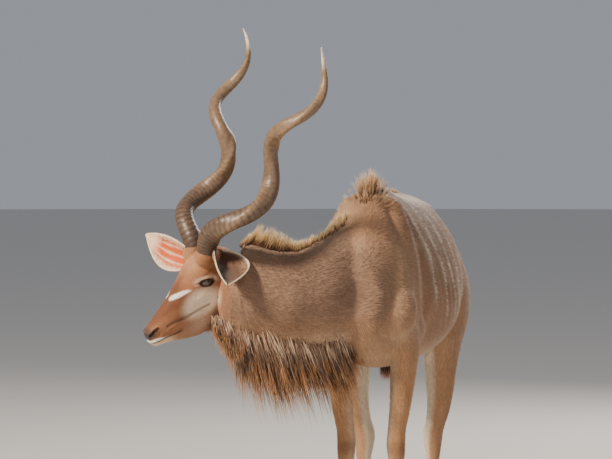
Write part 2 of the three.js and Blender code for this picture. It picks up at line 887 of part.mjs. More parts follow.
// Torso, legs, neck, head and tail meet at thin cuts.
const forward = beyond(STEP_NECK.at, STEP_NECK.out);
const rearward = beyond(STEP_NECK.at, STEP_NECK.out.clone().negate());
const faceSide = beyond(STEP_HEAD.at, STEP_HEAD.out);
const napeSide = beyond(STEP_HEAD.at, STEP_HEAD.out.clone().negate());
const tailSide = beyond(STEP_TAIL.at, STEP_TAIL.out);
const rumpSide = beyond(STEP_TAIL.at, STEP_TAIL.out.clone().negate());

const zones = Object.values(STANCES).map((stance) => legZone(stance, GAP));
const chest = neck.intersect(rearward);
const dock = tail.intersect(rumpSide);
parts.torso = join([trunk, chest, dock]).subtract(join(zones)).intersect(rearward);
for (const [name, stance] of Object.entries(STANCES)) {
  parts[name] = trunk.intersect(legZone(stance, 0)).intersect(rearward);
  parts[name.replace("leg", "hoof")] = makeHoof(stance);
}
parts.tail = tail.intersect(tailSide);

const skull = join([makeHead(), ...stubs]);
const foreparts = join([neck, trunk.intersect(forward), skull]).subtract(join([...clear, headCuts()]));
parts.neck = foreparts.intersect(forward).intersect(napeSide);
parts.head = foreparts.intersect(faceSide);

// The named meshes, with the base's centre moved to the origin
function material(name) {
  if (name.startsWith("horn")) return { color: HORN_COLOUR, roughness: 0.45 };
  if (name.startsWith("eye")) return { color: EYE_COLOUR, roughness: 0.08 };
  if (/hoof/.test(name)) return { color: HOOF_COLOUR, roughness: 0.6 };
  return { color: COAT, roughness: 0.9 };
}

const kudu = new THREE.Group();
for (const [name, made] of Object.entries(parts)) {
  const { vertProperties, triVerts } = largest(made).getMesh();
  const geometry = new THREE.BufferGeometry()
    .setAttribute("position", new THREE.BufferAttribute(vertProperties, 3))
    .setIndex(new THREE.BufferAttribute(triVerts, 1));
  const mesh = new THREE.Mesh(
    geometry,
    new THREE.MeshStandardMaterial({ ...material(name), metalness: 0 }),
  );
  mesh.name = name;
  kudu.add(mesh);
}
const reach = new THREE.Box3().setFromObject(kudu);
kudu.position.set(-(reach.min.x + reach.max.x) / 2, -(reach.min.y + reach.max.y) / 2, -reach.min.z);

export default kudu;
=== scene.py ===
import math

import bmesh
import bpy
import numpy as np
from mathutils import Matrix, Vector


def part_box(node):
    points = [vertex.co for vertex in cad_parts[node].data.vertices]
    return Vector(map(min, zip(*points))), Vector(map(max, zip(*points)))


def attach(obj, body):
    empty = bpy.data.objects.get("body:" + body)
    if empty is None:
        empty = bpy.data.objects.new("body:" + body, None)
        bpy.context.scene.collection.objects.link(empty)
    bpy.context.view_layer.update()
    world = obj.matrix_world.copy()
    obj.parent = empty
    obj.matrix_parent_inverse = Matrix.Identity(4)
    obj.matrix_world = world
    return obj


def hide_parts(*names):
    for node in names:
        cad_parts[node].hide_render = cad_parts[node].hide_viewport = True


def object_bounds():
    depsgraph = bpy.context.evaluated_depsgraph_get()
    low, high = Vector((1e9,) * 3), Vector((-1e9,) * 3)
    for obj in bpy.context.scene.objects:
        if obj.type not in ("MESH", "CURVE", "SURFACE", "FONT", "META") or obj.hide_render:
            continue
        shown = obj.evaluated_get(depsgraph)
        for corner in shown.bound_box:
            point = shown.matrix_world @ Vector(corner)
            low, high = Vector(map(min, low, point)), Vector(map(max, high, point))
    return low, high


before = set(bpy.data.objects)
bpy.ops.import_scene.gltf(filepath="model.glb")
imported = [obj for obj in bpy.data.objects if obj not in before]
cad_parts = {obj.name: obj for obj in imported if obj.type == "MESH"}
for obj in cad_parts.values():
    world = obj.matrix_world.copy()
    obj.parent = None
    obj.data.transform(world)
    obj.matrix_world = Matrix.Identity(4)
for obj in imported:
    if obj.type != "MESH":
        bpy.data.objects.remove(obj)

cad_box = [list(corner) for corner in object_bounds()]

# The bull's own measure. Its pieces are drawn in millimetres from the body's midline, facing -Y with
# its left at +X, and its head in a frame of its own with the nose at +X and the eyes near x = 0. The
# packed eye tells where that measure lies in the row.
head_at = np.array([-600.0, -710.0, 1107.0])
head_turn, head_pitch, head_roll = (math.radians(a) for a in (60.2, 39.5, -8.8))
nose_level = np.array([-math.sin(head_turn), -math.cos(head_turn), 0])
nose_way = nose_level * math.cos(head_pitch) + np.array([0, 0, -1]) * math.sin(head_pitch)
cheek_way = np.cross([0, 0, 1], nose_level)
crown_way = np.cross(nose_way, cheek_way)
head_axes = np.stack(
    [
        nose_way,
        cheek_way * math.cos(head_roll) + crown_way * math.sin(head_roll),
        crown_way * math.cos(head_roll) - cheek_way * math.sin(head_roll),
    ],
    axis=1,
)
eye_at = np.array([2.0, 59.0, 4.0])


def head_to_body(q):
    return head_at + np.asarray(q, float) @ head_axes.T


def body_to_head(p):
    return (np.asarray(p, float) - head_at) @ head_axes


eye_low, eye_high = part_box("eye_left")
row_shift = np.array((eye_low + eye_high) / 2) * 1000 - head_to_body(eye_at)


def to_row(p):
    return (np.asarray(p, float) + row_shift) * 0.001


def from_row(p):
    return np.asarray(p, float) * 1000 - row_shift


# The photograph's view: a long lens a little to the bull's left of straight ahead, 16 m away and just
# above the level of its back.
view_azimuth, view_elevation = math.radians(8), math.radians(2)
view_ahead = Vector(
    (
        -math.sin(view_azimuth) * math.cos(view_elevation),
        math.cos(view_azimuth) * math.cos(view_elevation),
        -math.sin(view_elevation),
    )
)
lens = bpy.data.cameras.new("long_lens")
lens.lens = 251
lens.sensor_width = 36
lens.clip_end = 200
camera = bpy.data.objects.new("camera", lens)
bpy.context.scene.collection.objects.link(camera)
camera.location = Vector(to_row([-231, -500, 1288])) - view_ahead * 16
camera.rotation_mode = "QUATERNION"
camera.rotation_quaternion = view_ahead.to_track_quat("-Z", "Y")
bpy.context.scene.camera = camera

# A plain pale floor and a soft studio: a warm key high in front on the animal's right, a broad weak
# fill on its left, a soft light from behind and a pale room all round.
floor_mesh = bmesh.new()
bmesh.ops.create_circle(floor_mesh, cap_ends=True, segments=96, radius=45)
floor_data = bpy.data.meshes.new("floor")
floor_mesh.to_mesh(floor_data)
floor_mesh.free()
floor = bpy.data.objects.new("floor", floor_data)
bpy.context.scene.collection.objects.link(floor)
pale_floor = bpy.data.materials.new("pale_floor")
pale_floor.use_nodes = True
pale_floor.node_tree.nodes["Principled BSDF"].inputs["Base Color"].default_value = (0.62, 0.6, 0.57, 1)
pale_floor.node_tree.nodes["Principled BSDF"].inputs["Roughness"].default_value = 0.9
floor_data.materials.append(pale_floor)

room = bpy.data.worlds.new("room")
room.use_nodes = True
room.node_tree.nodes["Background"].inputs["Color"].default_value = (0.86, 0.9, 1.0, 1)
room.node_tree.nodes["Background"].inputs["Strength"].default_value = 0.36
bpy.context.scene.world = room


def soft_light(name, place, size, power, colour):
    lamp = bpy.data.lights.new(name, "AREA")
    lamp.shape = "DISK"
    lamp.size = size
    lamp.energy = power
    lamp.color = colour
    stand = bpy.data.objects.new(name, lamp)
    bpy.context.scene.collection.objects.link(stand)
    stand.location = place
    stand.rotation_mode = "QUATERNION"
    stand.rotation_quaternion = (Vector((0, 0, 1.1)) - stand.location).to_track_quat("-Z", "Y")


soft_light("key", Vector((-5.2, -6.2, 7.0)), 1.5, 1900, (1.0, 0.87, 0.70))
soft_light("fill", Vector((4.0, -7.0, 3.0)), 5.0, 120, (1.0, 0.96, 0.92))
soft_light("back", Vector((2.5, 7.0, 4.5)), 4.0, 420, (1.0, 0.94, 0.86))


# Skin and flesh: the whole body is one hide over muscle, from the lips to the hooves. It is lofted
# through the same sections as the solids, blended into one closed skin, finer over the head, and then
# folded and hollowed where the muscles and bones show.
def row_at(rows, key):
    """The values at a key on a smooth cubic through rows of [key, value, ...]."""
    i = 0
    while i < len(rows) - 2 and key > rows[i + 1][0]:
        i += 1

    def slope(k):
        a, b = rows[max(0, k - 1)], rows[min(len(rows) - 1, k + 1)]
        return (np.array(b[1:], float) - np.array(a[1:], float)) / (b[0] - a[0])

    a, b = rows[i], rows[i + 1]
    h = b[0] - a[0]
    t = min(1.0, max(0.0, (key - a[0]) / h))
    return (
        (2 * t**3 - 3 * t**2 + 1) * np.array(a[1:], float)
        + (t**3 - 2 * t**2 + t) * h * slope(i)
        + (3 * t**2 - 2 * t**3) * np.array(b[1:], float)
        + (t**3 - t**2) * h * slope(i + 1)
    )


def curve_at(points, t):
    """A place along a centripetal curve through points, and its direction there."""

    def place(s):
        n = len(points)
        i = min(int(math.floor(s * (n - 1))), n - 2)
        w = s * (n - 1) - i
        p1, p2 = points[i], points[i + 1]
        p0 = points[i - 1] if i > 0 else 2 * points[0] - points[1]
        p3 = points[i + 2] if i + 2 < n else 2 * points[-1] - points[-2]
        d0, d1, d2 = (np.linalg.norm(b - a) ** 0.5 for a, b in ((p0, p1), (p1, p2), (p2, p3)))
        m1 = ((p1 - p0) / d0 - (p2 - p0) / (d0 + d1) + (p2 - p1) / d1) * d1
        m2 = ((p2 - p1) / d1 - (p3 - p1) / (d1 + d2) + (p3 - p2) / d2) * d1
        return p1 + m1 * w + (3 * (p2 - p1) - 2 * m1 - m2) * w**2 + (2 * (p1 - p2) + m1 + m2) * w**3

    lo, hi = max(0.0, t - 1e-4), min(1.0, t + 1e-4)
    along = place(hi) - place(lo)
    return place(t), along / np.linalg.norm(along)


def oval(section, count):
    """A ring of points round a section, which has its own rise, drop and squareness."""
    centre, side, up, half, rise, drop, top, low = section
    angle = 2 * np.pi * (np.arange(count) + 0.5) / count
    c, s = np.cos(angle), np.sin(angle)
    power = np.where(s >= 0, 2 / top, 2 / low)
    across = half * np.sign(c) * np.abs(c) ** power
    high = np.where(s >= 0, rise, drop) * np.sign(s) * np.abs(s) ** power
    return centre + across[:, None] * side + high[:, None] * up


def loft(bm, rings):
    """Rings drawn from circles and bridged one to the next, closed at both ends."""
    loops = []
    for k, ring in enumerate(rings):
        ends = k in (0, len(rings) - 1)
        made = bmesh.ops.create_circle(bm, cap_ends=ends, segments=len(ring), radius=1)["verts"]
        for vert, place in zip(made, ring):
            vert.co = place
        loops.append(made)
    hoops = []
    for made in loops:
        own = set(made)
        hoops.append([e for e in {e for v in made for e in v.link_edges} if set(e.verts) <= own])
    for here, there in zip(hoops, hoops[1:]):
        bmesh.ops.bridge_loops(bm, edges=here + there)


AXIS_X, AXIS_Y, AXIS_Z = np.eye(3)

# [along the body, top, low, half width, height of the widest place, squareness above, below]
torso_rows = [
    [-640, 1150, 960, 60, 1050, 2, 2],
    [-600, 1225, 870, 100, 1050, 2, 2],
    [-530, 1320, 800, 140, 1050, 2, 2],
    [-440, 1425, 772, 166, 1045, 1.8, 2],
    [-350, 1455, 765, 188, 1040, 1.75, 2],
    [-250, 1447, 755, 215, 1030, 1.8, 2.1],
    [-100, 1428, 755, 258, 1010, 1.9, 2.2],
    [60, 1414, 762, 284, 1000, 2, 2.2],
    [210, 1410, 785, 282, 1010, 2.05, 2.1],
    [350, 1405, 835, 268, 1040, 2, 2],
    [470, 1393, 900, 252, 1070, 1.9, 2],
    [560, 1358, 955, 212, 1090, 1.8, 2],
    [620, 1322, 990, 170, 1120, 1.9, 2],
    [662, 1268, 1040, 112, 1150, 2, 2],
    [680, 1222, 1095, 52, 1165, 2, 2],
]


def torso_section(y):
    top, low, half, wide, square_top, square_low = row_at(torso_rows, y)
    return (np.array([0, y, wide]), AXIS_X, AXIS_Z, half, top - wide, wide - low, square_top, square_low)


neck_path = np.array(
    [
        [-30, -290, 1140],
        [-75, -440, 1110],
        [-140, -560, 1075],
        [-240, -640, 1045],
        [-372, -692, 1052],
        [-470, -700, 1085],
        [-550, -690, 1120],
    ],
    float,
)
neck_rows = [
    [0, 262, 250, 128],
    [0.22, 205, 262, 140],
    [0.42, 174, 228, 138],
    [0.58, 172, 186, 124],
    [0.78, 174, 168, 108],
    [0.92, 146, 148, 96],
    [1, 100, 118, 78],
]


def neck_section(t):
    above, below, half = row_at(neck_rows, t)
    centre, along = curve_at(neck_path, t)
    side = np.cross(AXIS_Z, along)
    side /= np.linalg.norm(side)
    return (centre, side, np.cross(along, side), half, above, below, 1.85, 1.85)


# [along the head, top, low, half width, height of the widest place, squareness above, below]
head_rows = [
    [-150, 30, -70, 52, -15, 2, 2],
    [-125, 58, -120, 66, -12, 2, 2],
    [-85, 80, -164, 74, -6, 2, 2],
    [-45, 88, -182, 77, 0, 2.1, 1.9],
    [-10, 83, -184, 80, 6, 2.2, 1.8],
    [30, 70, -180, 74, 4, 2.3, 1.8],
    [70, 54, -176, 62, -10, 2.3, 1.8],
    [120, 38, -166, 50, -26, 2.3, 1.9],
    [155, 29, -151, 45, -34, 2.3, 2],
    [190, 20, -131, 41, -38, 2.3, 2.1],
    [235, 9, -104, 37, -43, 2.3, 2.1],
    [268, 0, -88, 36, -45, 2.4, 2.1],
    [287, -8, -73, 31, -43, 2.3, 2.2],
    [297, -20, -59, 18, -41, 2, 2],
]


def head_section(x):
    top, low, half, wide, square_top, square_low = row_at(head_rows, x)
    return (np.array([x, 0, wide]), AXIS_Y, AXIS_Z, half, top - wide, wide - low, square_top, square_low)


# [height, outwards, backwards, half width, half depth, turn about the leg in degrees]
foreleg_rows = [
    [60, 95, -438, 27, 35, 0],
    [90, 95, -427, 24, 29, 0],
    [120, 96, -414, 25, 30, 0],
    [152, 97, -403, 29, 35, 0],
    [190, 98, -402, 23, 29, 0],
    [260, 100, -404, 21, 26, 0],
    [345, 102, -407, 22, 28, 0],
    [395, 104, -410, 28, 34, 0],
    [435, 105, -413, 34, 39, 0],
    [475, 103, -411, 37, 39, 0],
    [525, 105, -407, 36, 38, 0],
    [610, 116, -401, 40, 47, 0],
    [710, 124, -393, 47, 63, 0],
    [785, 128, -386, 54, 82, 0],
    [850, 130, -388, 60, 105, 0],
    [930, 124, -418, 62, 126, 0],
    [1020, 116, -440, 66, 132, 0],
    [1150, 108, -428, 64, 122, 0],
    [1290, 88, -400, 50, 92, 0],
    [1400, 60, -372, 28, 55, 0],
]
hindleg_rows = [
    [60, 118, 543, 28, 36, 0],
    [90, 118, 553, 25, 30, 2],
    [120, 118, 564, 26, 31, 4],
    [155, 119, 574, 30, 37, 6],
    [195, 120, 580, 25, 31, 8],
    [290, 123, 590, 24, 30, 14],
    [355, 126, 599, 31, 36, 19],
    [405, 125, 606, 38, 46, 22],
    [445, 127, 606, 40, 54, 22],
    [485, 139, 596, 41, 54, 21],
    [530, 151, 572, 46, 52, 19],
    [600, 161, 542, 52, 64, 16],
    [700, 167, 505, 64, 94, 9],
    [810, 177, 474, 80, 134, 0],
    [910, 188, 456, 97, 162, 0],
    [1000, 191, 452, 100, 182, 0],
    [1060, 186, 452, 97, 186, 0],
    [1130, 168, 455, 92, 186, 0],
    [1250, 134, 450, 74, 160, 0],
    [1345, 90, 440, 44, 108, 0],
]
hip_height = 1150
# name: rows, side, how far the foot swings back, how far it swings out
stances = {
    "foreleg_left": (foreleg_rows, 1, 0, -8),
    "foreleg_right": (foreleg_rows, -1, 10, -22),
    "hindleg_left": (hindleg_rows, 1, 10, 0),
    "hindleg_right": (hindleg_rows, -1, -190, 12),
}


def leg_section(stance, z):
    rows, sign, stride, splay = stance
    out, back, half, depth, turn = row_at(rows, z)
    swing = min(1.0, max(0.0, 1 - z / hip_height))
    centre = np.array([sign * (out + splay * swing), back + stride * swing, z])
    c, s = math.cos(math.radians(turn)), sign * math.sin(math.radians(turn))
    return (centre, np.array([c, s, 0]), np.array([-s, c, 0]), half, depth, depth, 2, 2)


tail_path = np.array([[0, 600, 1292], [0, 668, 1262], [0, 710, 1180], [0, 714, 1030], [0, 706, 880]], float)
tail_rows = [[0, 34, 26], [0.3, 30, 20], [0.6, 27, 15], [0.85, 25, 12], [1, 12, 7]]


def tail_section(t):
    half, depth = row_at(tail_rows, t)
    centre, along = curve_at(tail_path, t)
    back = np.cross(AXIS_X, along)
    return (centre, AXIS_X, back / np.linalg.norm(back), half, depth, depth, 2, 2)


def lump(bm, centre, radii, frame_axes=np.eye(3), base=np.zeros(3)):
    """A muscle or bone that swells the skin: an oval ball sunk into the flesh."""
    made = bmesh.ops.create_icosphere(bm, subdivisions=4, radius=1)["verts"]
    for vert in made:
        q = np.array(vert.co) * radii + centre
        vert.co = to_row(base + q @ frame_axes.T)


def blended(bm, voxel, rounds):
    """One closed skin over everything in a bmesh, by a voxel remesh, with its creases rounded."""
    bmesh.ops.recalc_face_normals(bm, faces=bm.faces)
    data = bpy.data.meshes.new("flesh")
    bm.to_mesh(data)
    bm.free()
    piece = bpy.data.objects.new("flesh", data)
    bpy.context.scene.collection.objects.link(piece)
    remesh = piece.modifiers.new("one_skin", "REMESH")
    remesh.mode = "VOXEL"
    remesh.voxel_size = voxel
    soften = piece.modifiers.new("soften", "SMOOTH")
    soften.iterations = rounds
    soften.factor = 0.5
    graph = bpy.context.evaluated_depsgraph_get()
    done = bmesh.new()
    done.from_mesh(bpy.data.meshes.new_from_object(piece.evaluated_get(graph)))
    bpy.data.objects.remove(piece)
    return done


dewclaw_height = 128
body_flesh = bmesh.new()
loft(body_flesh, [to_row(oval(torso_section(y), 56)) for y in np.linspace(-640, 680, 60)])
loft(body_flesh, [to_row(oval(neck_section(t), 44)) for t in np.linspace(0, 1, 36)])
loft(body_flesh, [to_row(oval(tail_section(t), 24)) for t in np.linspace(0, 1, 30)])
for stance in stances.values():
    heights = [60, *np.arange(75, 700, 14), *np.arange(700, stance[0][-1][0] - 10, 24), stance[0][-1][0]]
    loft(body_flesh, [to_row(oval(leg_section(stance, z), 28)) for z in heights])
    for out in (13, -13):
        lump(body_flesh, leg_section(stance, dewclaw_height)[0] + [out, 27, 0], np.array([9, 11, 14]))
lump(body_flesh, np.array([0, 130, 770]), np.array([24, 95, 34]))
for sign in (1, -1):
    lump(body_flesh, np.array([sign * 118, -515, 985]), np.array([70, 80, 105]))
    lump(body_flesh, np.array([sign * 150, -330, 925]), np.array([48, 95, 90]))

head_flesh = bmesh.new()
loft(head_flesh, [to_row(head_to_body(oval(head_section(x), 56))) for x in np.linspace(-150, 297, 90)])
neck_end = []
for t in np.linspace(0.7, 0.92, 32):
    middle, across, up, half, rise, drop, top, low = neck_section(t)
    narrow = 1 - 0.6 * max(0.0, (t - 0.76) / 0.16) ** 1.7
    drawn_in = (middle, across, up, half * narrow, rise * narrow, drop * narrow, top, low)
    neck_end.append(to_row(oval(drawn_in, 56)))
loft(head_flesh, neck_end)
for sign in (1, -1):
    for centre, radii in (
        (eye_at, [28, 28, 28]),
        ([-14, 52, 34], [42, 24, 22]),
        ([266, 24, -22], [24, 16, 15]),
    ):
        lump(head_flesh, np.array(centre) * [1, sign, 1], np.array(radii), head_axes, head_at)
    lump(head_flesh, np.array([-58, sign * 48, 70]), np.array([48, 42, 46]), head_axes, head_at)
lump(head_flesh, np.array([262, 0, -73]), np.array([32, 25, 14]), head_axes, head_at)
lump(head_flesh, np.array([-66, -60, 22]), np.array([34, 30, 32]), head_axes, head_at)

coarse, fine = ((0.0102, 0.0030))
body_skin = blended(body_flesh, coarse, 9)
head_skin = blended(head_flesh, fine, 7)
seam_at, seam_way = np.array([-452.0, -688, 1100]), np.array([-1, -0.16, 0.02])
seam_way = seam_way / np.linalg.norm(seam_way)
for part, step, facing in ((body_skin, -5, False), (head_skin, 5, True)):
    bmesh.ops.bisect_plane(
        part,
        geom=part.verts[:] + part.edges[:] + part.faces[:],
        plane_co=to_row(seam_at + seam_way * step),
        plane_no=seam_way,
        clear_outer=not facing,
        clear_inner=facing,
    )
skin_data = bpy.data.meshes.new("skin")
head_skin.to_mesh(skin_data)
body_skin.from_mesh(skin_data)
head_skin.free()
bmesh.ops.bridge_loops(body_skin, edges=[e for e in body_skin.edges if e.is_boundary])
bmesh.ops.triangulate(body_skin, faces=[f for f in body_skin.faces if len(f.verts) > 4])
bmesh.ops.recalc_face_normals(body_skin, faces=body_skin.faces)
for face in body_skin.faces:
    face.smooth = True
body_skin.to_mesh(skin_data)
body_skin.free()


def ease(low, high, x):
    """0 below low and 1 above high, with a smooth rise between."""
    t = np.clip((np.asarray(x, float) - low) / (high - low), 0, 1)
    return t * t * (3 - 2 * t)


def near(p, centre, radii):
    """1 at a centre, falling smoothly to 0 outside its radii."""
    return np.exp(-2.2 * (((p - np.asarray(centre, float)) / np.asarray(radii, float)) ** 2).sum(1))


def off_line(p, points):
    """The distance from each place to a line through points."""
    best = np.full(len(p), 1e9)
    for a, b in zip(np.array(points[:-1], float), np.array(points[1:], float)):
        t = np.clip(((p - a) @ (b - a)) / ((b - a) @ (b - a)), 0, 1)
        best = np.minimum(best, np.linalg.norm(p - a - t[:, None] * (b - a), axis=1))
    return best


def vertex_arrays(data):
    place = np.empty(len(data.vertices) * 3)
    data.vertices.foreach_get("co", place)
    normal = np.empty(len(data.vertices) * 3)
    data.vertex_normals.foreach_get("vector", normal)
    return place.reshape(-1, 3), normal.reshape(-1, 3)


place, normal = vertex_arrays(skin_data)
place = from_row(place)
mirror = place.copy()
mirror[:, 0] = np.abs(mirror[:, 0])
on_head = ease(-10, 30, (place - (seam_at + seam_way * 25)) @ seam_way)
off_head = 1 - on_head

# How far the skin swells or sinks at the body's landmarks: [place, reach, height]
body_forms = [
    ([120, 392, 1338], [45, 60, 40], 9),
    ([215, 330, 1200], [90, 85, 110], -13),
    ([150, -235, 1150], [60, 45, 260], -9),
    ([90, -395, 1330], [40, 60, 120], 6),
    ([150, -520, 1010], [60, 60, 80], 7),
    ([185, -300, 920], [60, 60, 70], 5),
    ([190, 330, 900], [60, 60, 90], 7),
    ([190, 560, 1010], [80, 22, 170], -7),
    ([150, 600, 1130], [70, 60, 80], 6),
    ([60, 0, 1400], [60, 300, 60], -3),
    ([40, -610, 960], [50, 60, 90], 6),
]
swell = np.zeros(len(place))
for centre, reach, height in body_forms:
    swell += height * near(mirror, centre, reach)
shoulder_lines = [
    ([[84, -470, 1385], [132, -480, 1250], [138, -505, 1100], [126, -540, 960]], 22, -13),
    ([[104, -400, 1390], [164, -405, 1240], [186, -420, 1080], [176, -440, 980]], 34, 15),
    ([[126, -320, 1370], [196, -315, 1240], [216, -320, 1060], [206, -310, 950]], 24, -13),
    ([[120, -240, 1330], [205, -250, 1180], [226, -250, 1020]], 34, 5),
    ([[214, 560, 1120], [226, 520, 960], [196, 520, 830]], 26, -6),
    ([[238, 330, 1170], [262, 360, 1010], [228, 380, 860]], 40, 7),
    ([[250, 210, 1180], [262, 230, 1000], [200, 260, 870]], 34, -9),
    ([[95, -510, 900], [112, -440, 830], [118, -410, 700]], 16, 3),
]
for line, reach, height in shoulder_lines:
    swell += height * np.exp(-((off_line(mirror, line) / reach) ** 2))
ribs = near(mirror, [260, -20, 1060], [160, 260, 230])
swell += 2.0 * ribs * np.cos(2 * np.pi * (place[:, 1] + 0.25 * (place[:, 2] - 1050)) / 58)
swell *= off_head

# The neck's loose skin lies in faint rings, low on the throat.
neck_centre = np.array([curve_at(neck_path, t)[0] for t in np.linspace(0, 1, 60)])
neck_along = np.array([curve_at(neck_path, t)[1] for t in np.linspace(0, 1, 60)])
nearest = np.empty(len(place), int)
for start in range(0, len(place), 20000):
    block = place[start : start + 20000]
    nearest[start : start + 20000] = ((block[:, None] - neck_centre[None]) ** 2).sum(2).argmin(1)
along_neck = nearest / 59
rings = np.cos(along_neck * 46 + place[:, 2] * 0.012)
in_neck = ease(0.3, 0.45, along_neck) * ease(1.0, 0.9, along_neck) * ease(-150, -250, place[:, 0])
swell += 1.5 * rings * in_neck * ease(1150, 1000, place[:, 2]) * off_head

# The head: folds over and under the eye, the tear groove, hollow cheeks, nostrils, lips and the jaw
q = body_to_head(place)
qm = q.copy()
qm[:, 1] = np.abs(qm[:, 1])
head_forms = [
    ([70, 46, -48], [52, 26, 26], -2.5),
    ([45, 60, -28], [46, 16, 12], 3),
    ([112, 40, -2], [60, 14, 12], 2),
    ([150, 40, -84], [60, 20, 22], -2.5),
    ([-60, 60, -40], [34, 22, 34], -4),
    ([8, 42, 52], [26, 18, 18], 3),
    ([40, 0, 66], [50, 20, 30], -3),
    ([258, 36, -54], [26, 12, 16], 3),
    ([232, 30, -90], [30, 14, 10], 2.5),
    ([-30, 52, -128], [44, 20, 26], 3),
    ([-20, 60, -80], [80, 40, 64], 4),
]
head_swell = np.zeros(len(place))
for centre, reach, height in head_forms:
    head_swell += height * near(qm, centre, reach)
mouth_line = [[310, 8, -56], [290, 22, -58], [270, 33, -62], [252, 36, -66], [215, 38, -79], [184, 41, -88],
              [172, 42, -93]]
from_mouth = off_line(qm * [1, 0.25, 1], np.array(mouth_line) * [1, 0.25, 1])
front = ease(165, 178, qm[:, 0])
head_swell -= front * 4.2 * np.exp(-((from_mouth / 2.3) ** 2))
head_swell += front * 1.6 * np.exp(-(((from_mouth - 6) / 4) ** 2))
head_swell -= 2.5 * near(qm, [296, 0, -34], [16, 3.2, 18])
cheek_creases = [
    (
        [[214, 40, -38], [181, 43, -43], [146, 46, -57], [115, 50, -61], [78, 56, -66], [44, 62, -71]],
        3.4, -3.2,
    ),
    ([[222, 40, -50], [186, 44, -56], [150, 47, -70], [112, 52, -76]], 5.0, 2.4),
    ([[176, 44, -62], [148, 46, -76], [126, 48, -84]], 2.4, -1.8),
    ([[150, 46, -84], [118, 50, -92], [92, 54, -96]], 2.6, -1.6),
    ([[196, 42, -70], [170, 44, -80], [150, 45, -92]], 2.2, -1.5),
    ([[110, 48, -30], [86, 52, -44], [60, 58, -52]], 3.0, -1.2),
    ([[6, 74, -60], [-4, 74, -84], [-2, 72, -108]], 4.0, -2.2),
]
for line, reach, height in cheek_creases:
    from_crease = off_line(qm * [1, 0.4, 1], np.array(line) * [1, 0.4, 1])
    head_swell += height * np.exp(-((from_crease / reach) ** 2))
lid_tilt = math.radians(28)
lid_half, lid_rise, lid_drop = 26, 12.5, 10.5
socket_radius = 27.0


def lid_frame(from_eye):
    """How far along the lids and how high above their middle a place lies, seen from the eye's side."""
    c, s = math.cos(lid_tilt), math.sin(lid_tilt)
    along = (from_eye[:, 0] - 5) * c + from_eye[:, 2] * s
    return along, from_eye[:, 2] * c - (from_eye[:, 0] - 5) * s - 2.5


from_eye = qm - eye_at
along_lid, over_lid = lid_frame(from_eye)
outside_eye = ease(-4, 6, from_eye[:, 1])
head_swell -= 2.4 * np.exp(-(((along_lid - 37) / 9) ** 2 + ((over_lid - 1) / 3.2) ** 2)) * outside_eye
for level, bow, deep in ((20, 1.0, 2.0), (26, 1.1, 1.0)):
    fold = np.abs(over_lid - (level - 0.010 * along_lid**2 * bow))
    head_swell -= deep * np.exp(-((fold / 2.0) ** 2)) * outside_eye * ease(36, 26, np.abs(along_lid))
for level, deep in ((-18, 1.6), (-24, 0.9)):
    fold = np.abs(over_lid - (level + 0.009 * along_lid**2))
    head_swell -= deep * np.exp(-((fold / 2.2) ** 2)) * outside_eye * ease(34, 24, np.abs(along_lid))
swell += head_swell * on_head

# The skin lies under the solids' faces by the depth of the coat.
depth_of_coat = 3.0 * off_head * ease(500, 900, place[:, 2]) + 1.6
place = place + normal * (swell - depth_of_coat * (1 - 0.45 * on_head))[:, None]

# Lids part over the eye, and the nostrils are deep slots that curl up and back.
q = body_to_head(place)
side = np.sign(q[:, 1])
from_eye = np.stack([q[:, 0], np.abs(q[:, 1]), q[:, 2]], 1) - eye_at
along_lid, over_lid = lid_frame(from_eye)
upper_lid = lid_rise * np.clip(1 - (along_lid / lid_half) ** 2, 0, 1) ** 0.75
lower_lid = -lid_drop * np.clip(1 - (along_lid / lid_half) ** 2, 0, 1) ** 0.9
inside_lids = np.minimum(upper_lid - over_lid, over_lid - lower_lid)
inside_lids = np.where(from_eye[:, 1] > 4, inside_lids, -9)
reach = np.linalg.norm(from_eye, axis=1)
lid_open = ease(-0.6, 2.2, inside_lids) * (reach < 45)
lid_edge = np.exp(-(((inside_lids + 2.5) / 2.4) ** 2)) * (reach < 36) * (from_eye[:, 1] > 4)
target = np.where(lid_open > 0, socket_radius - 8.5 * lid_open, reach)
scale = np.where(lid_open > 0, np.minimum(target, reach + 0.5) / np.maximum(reach, 1), 1)
from_eye = from_eye * (scale * (1 + 0.035 * lid_edge))[:, None]
q = (from_eye + eye_at) * np.stack([np.ones(len(side)), side, np.ones(len(side))], 1)
qm = np.stack([q[:, 0], np.abs(q[:, 1]), q[:, 2]], 1)
slot_line = [[288, 27, -25], [278, 33, -21], [264, 36, -18], [250, 36, -20]]
nostril = off_line(qm, slot_line)
nostril_in = ease(7.0, 1.0, nostril) * ease(8, 16, qm[:, 1])
wing = np.exp(-(((nostril - 9) / 4.0) ** 2)) * ease(8, 16, qm[:, 1])
q[:, 0] += -5.0 * nostril_in
q[:, 1] += side * (1.6 * wing - 12.0 * nostril_in)
place = head_to_body(q)

skin_data.vertices.foreach_set("co", to_row(place).ravel())
skin_data.update()
skin = bpy.data.objects.new("skin", skin_data)
bpy.context.scene.collection.objects.link(skin)
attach(skin, "root")
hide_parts("torso", "neck", "head", "tail", *stances)


# The coat's colours: fawn grey-brown, greyer on the neck, with thin pale stripes down the flanks, a
# tan face with a white chevron and lips, and cream inside the hind legs.
def srgb(r, g, b):
    c = np.array([r, g, b]) / 255
    return np.where(c <= 0.04045, c / 12.92, ((c + 0.055) / 1.055) ** 2.4)


def paint(base, colour, share):
    return base + (np.asarray(colour) - base) * np.asarray(share)[:, None]


stripes = [(-228, 0.0, 1395, 1000), (-112, 0.8, 1405, 930), (0, 1.9, 1400, 915), (112, 2.5, 1395, 930),
           (222, 3.4, 1390, 960), (328, 4.0, 1385, 985), (428, 5.1, 1370, 1020)]
chevron = [[32, 66, 2], [56, 58, 11], [80, 50, 20], [112, 36, 27], [138, 18, 29]]


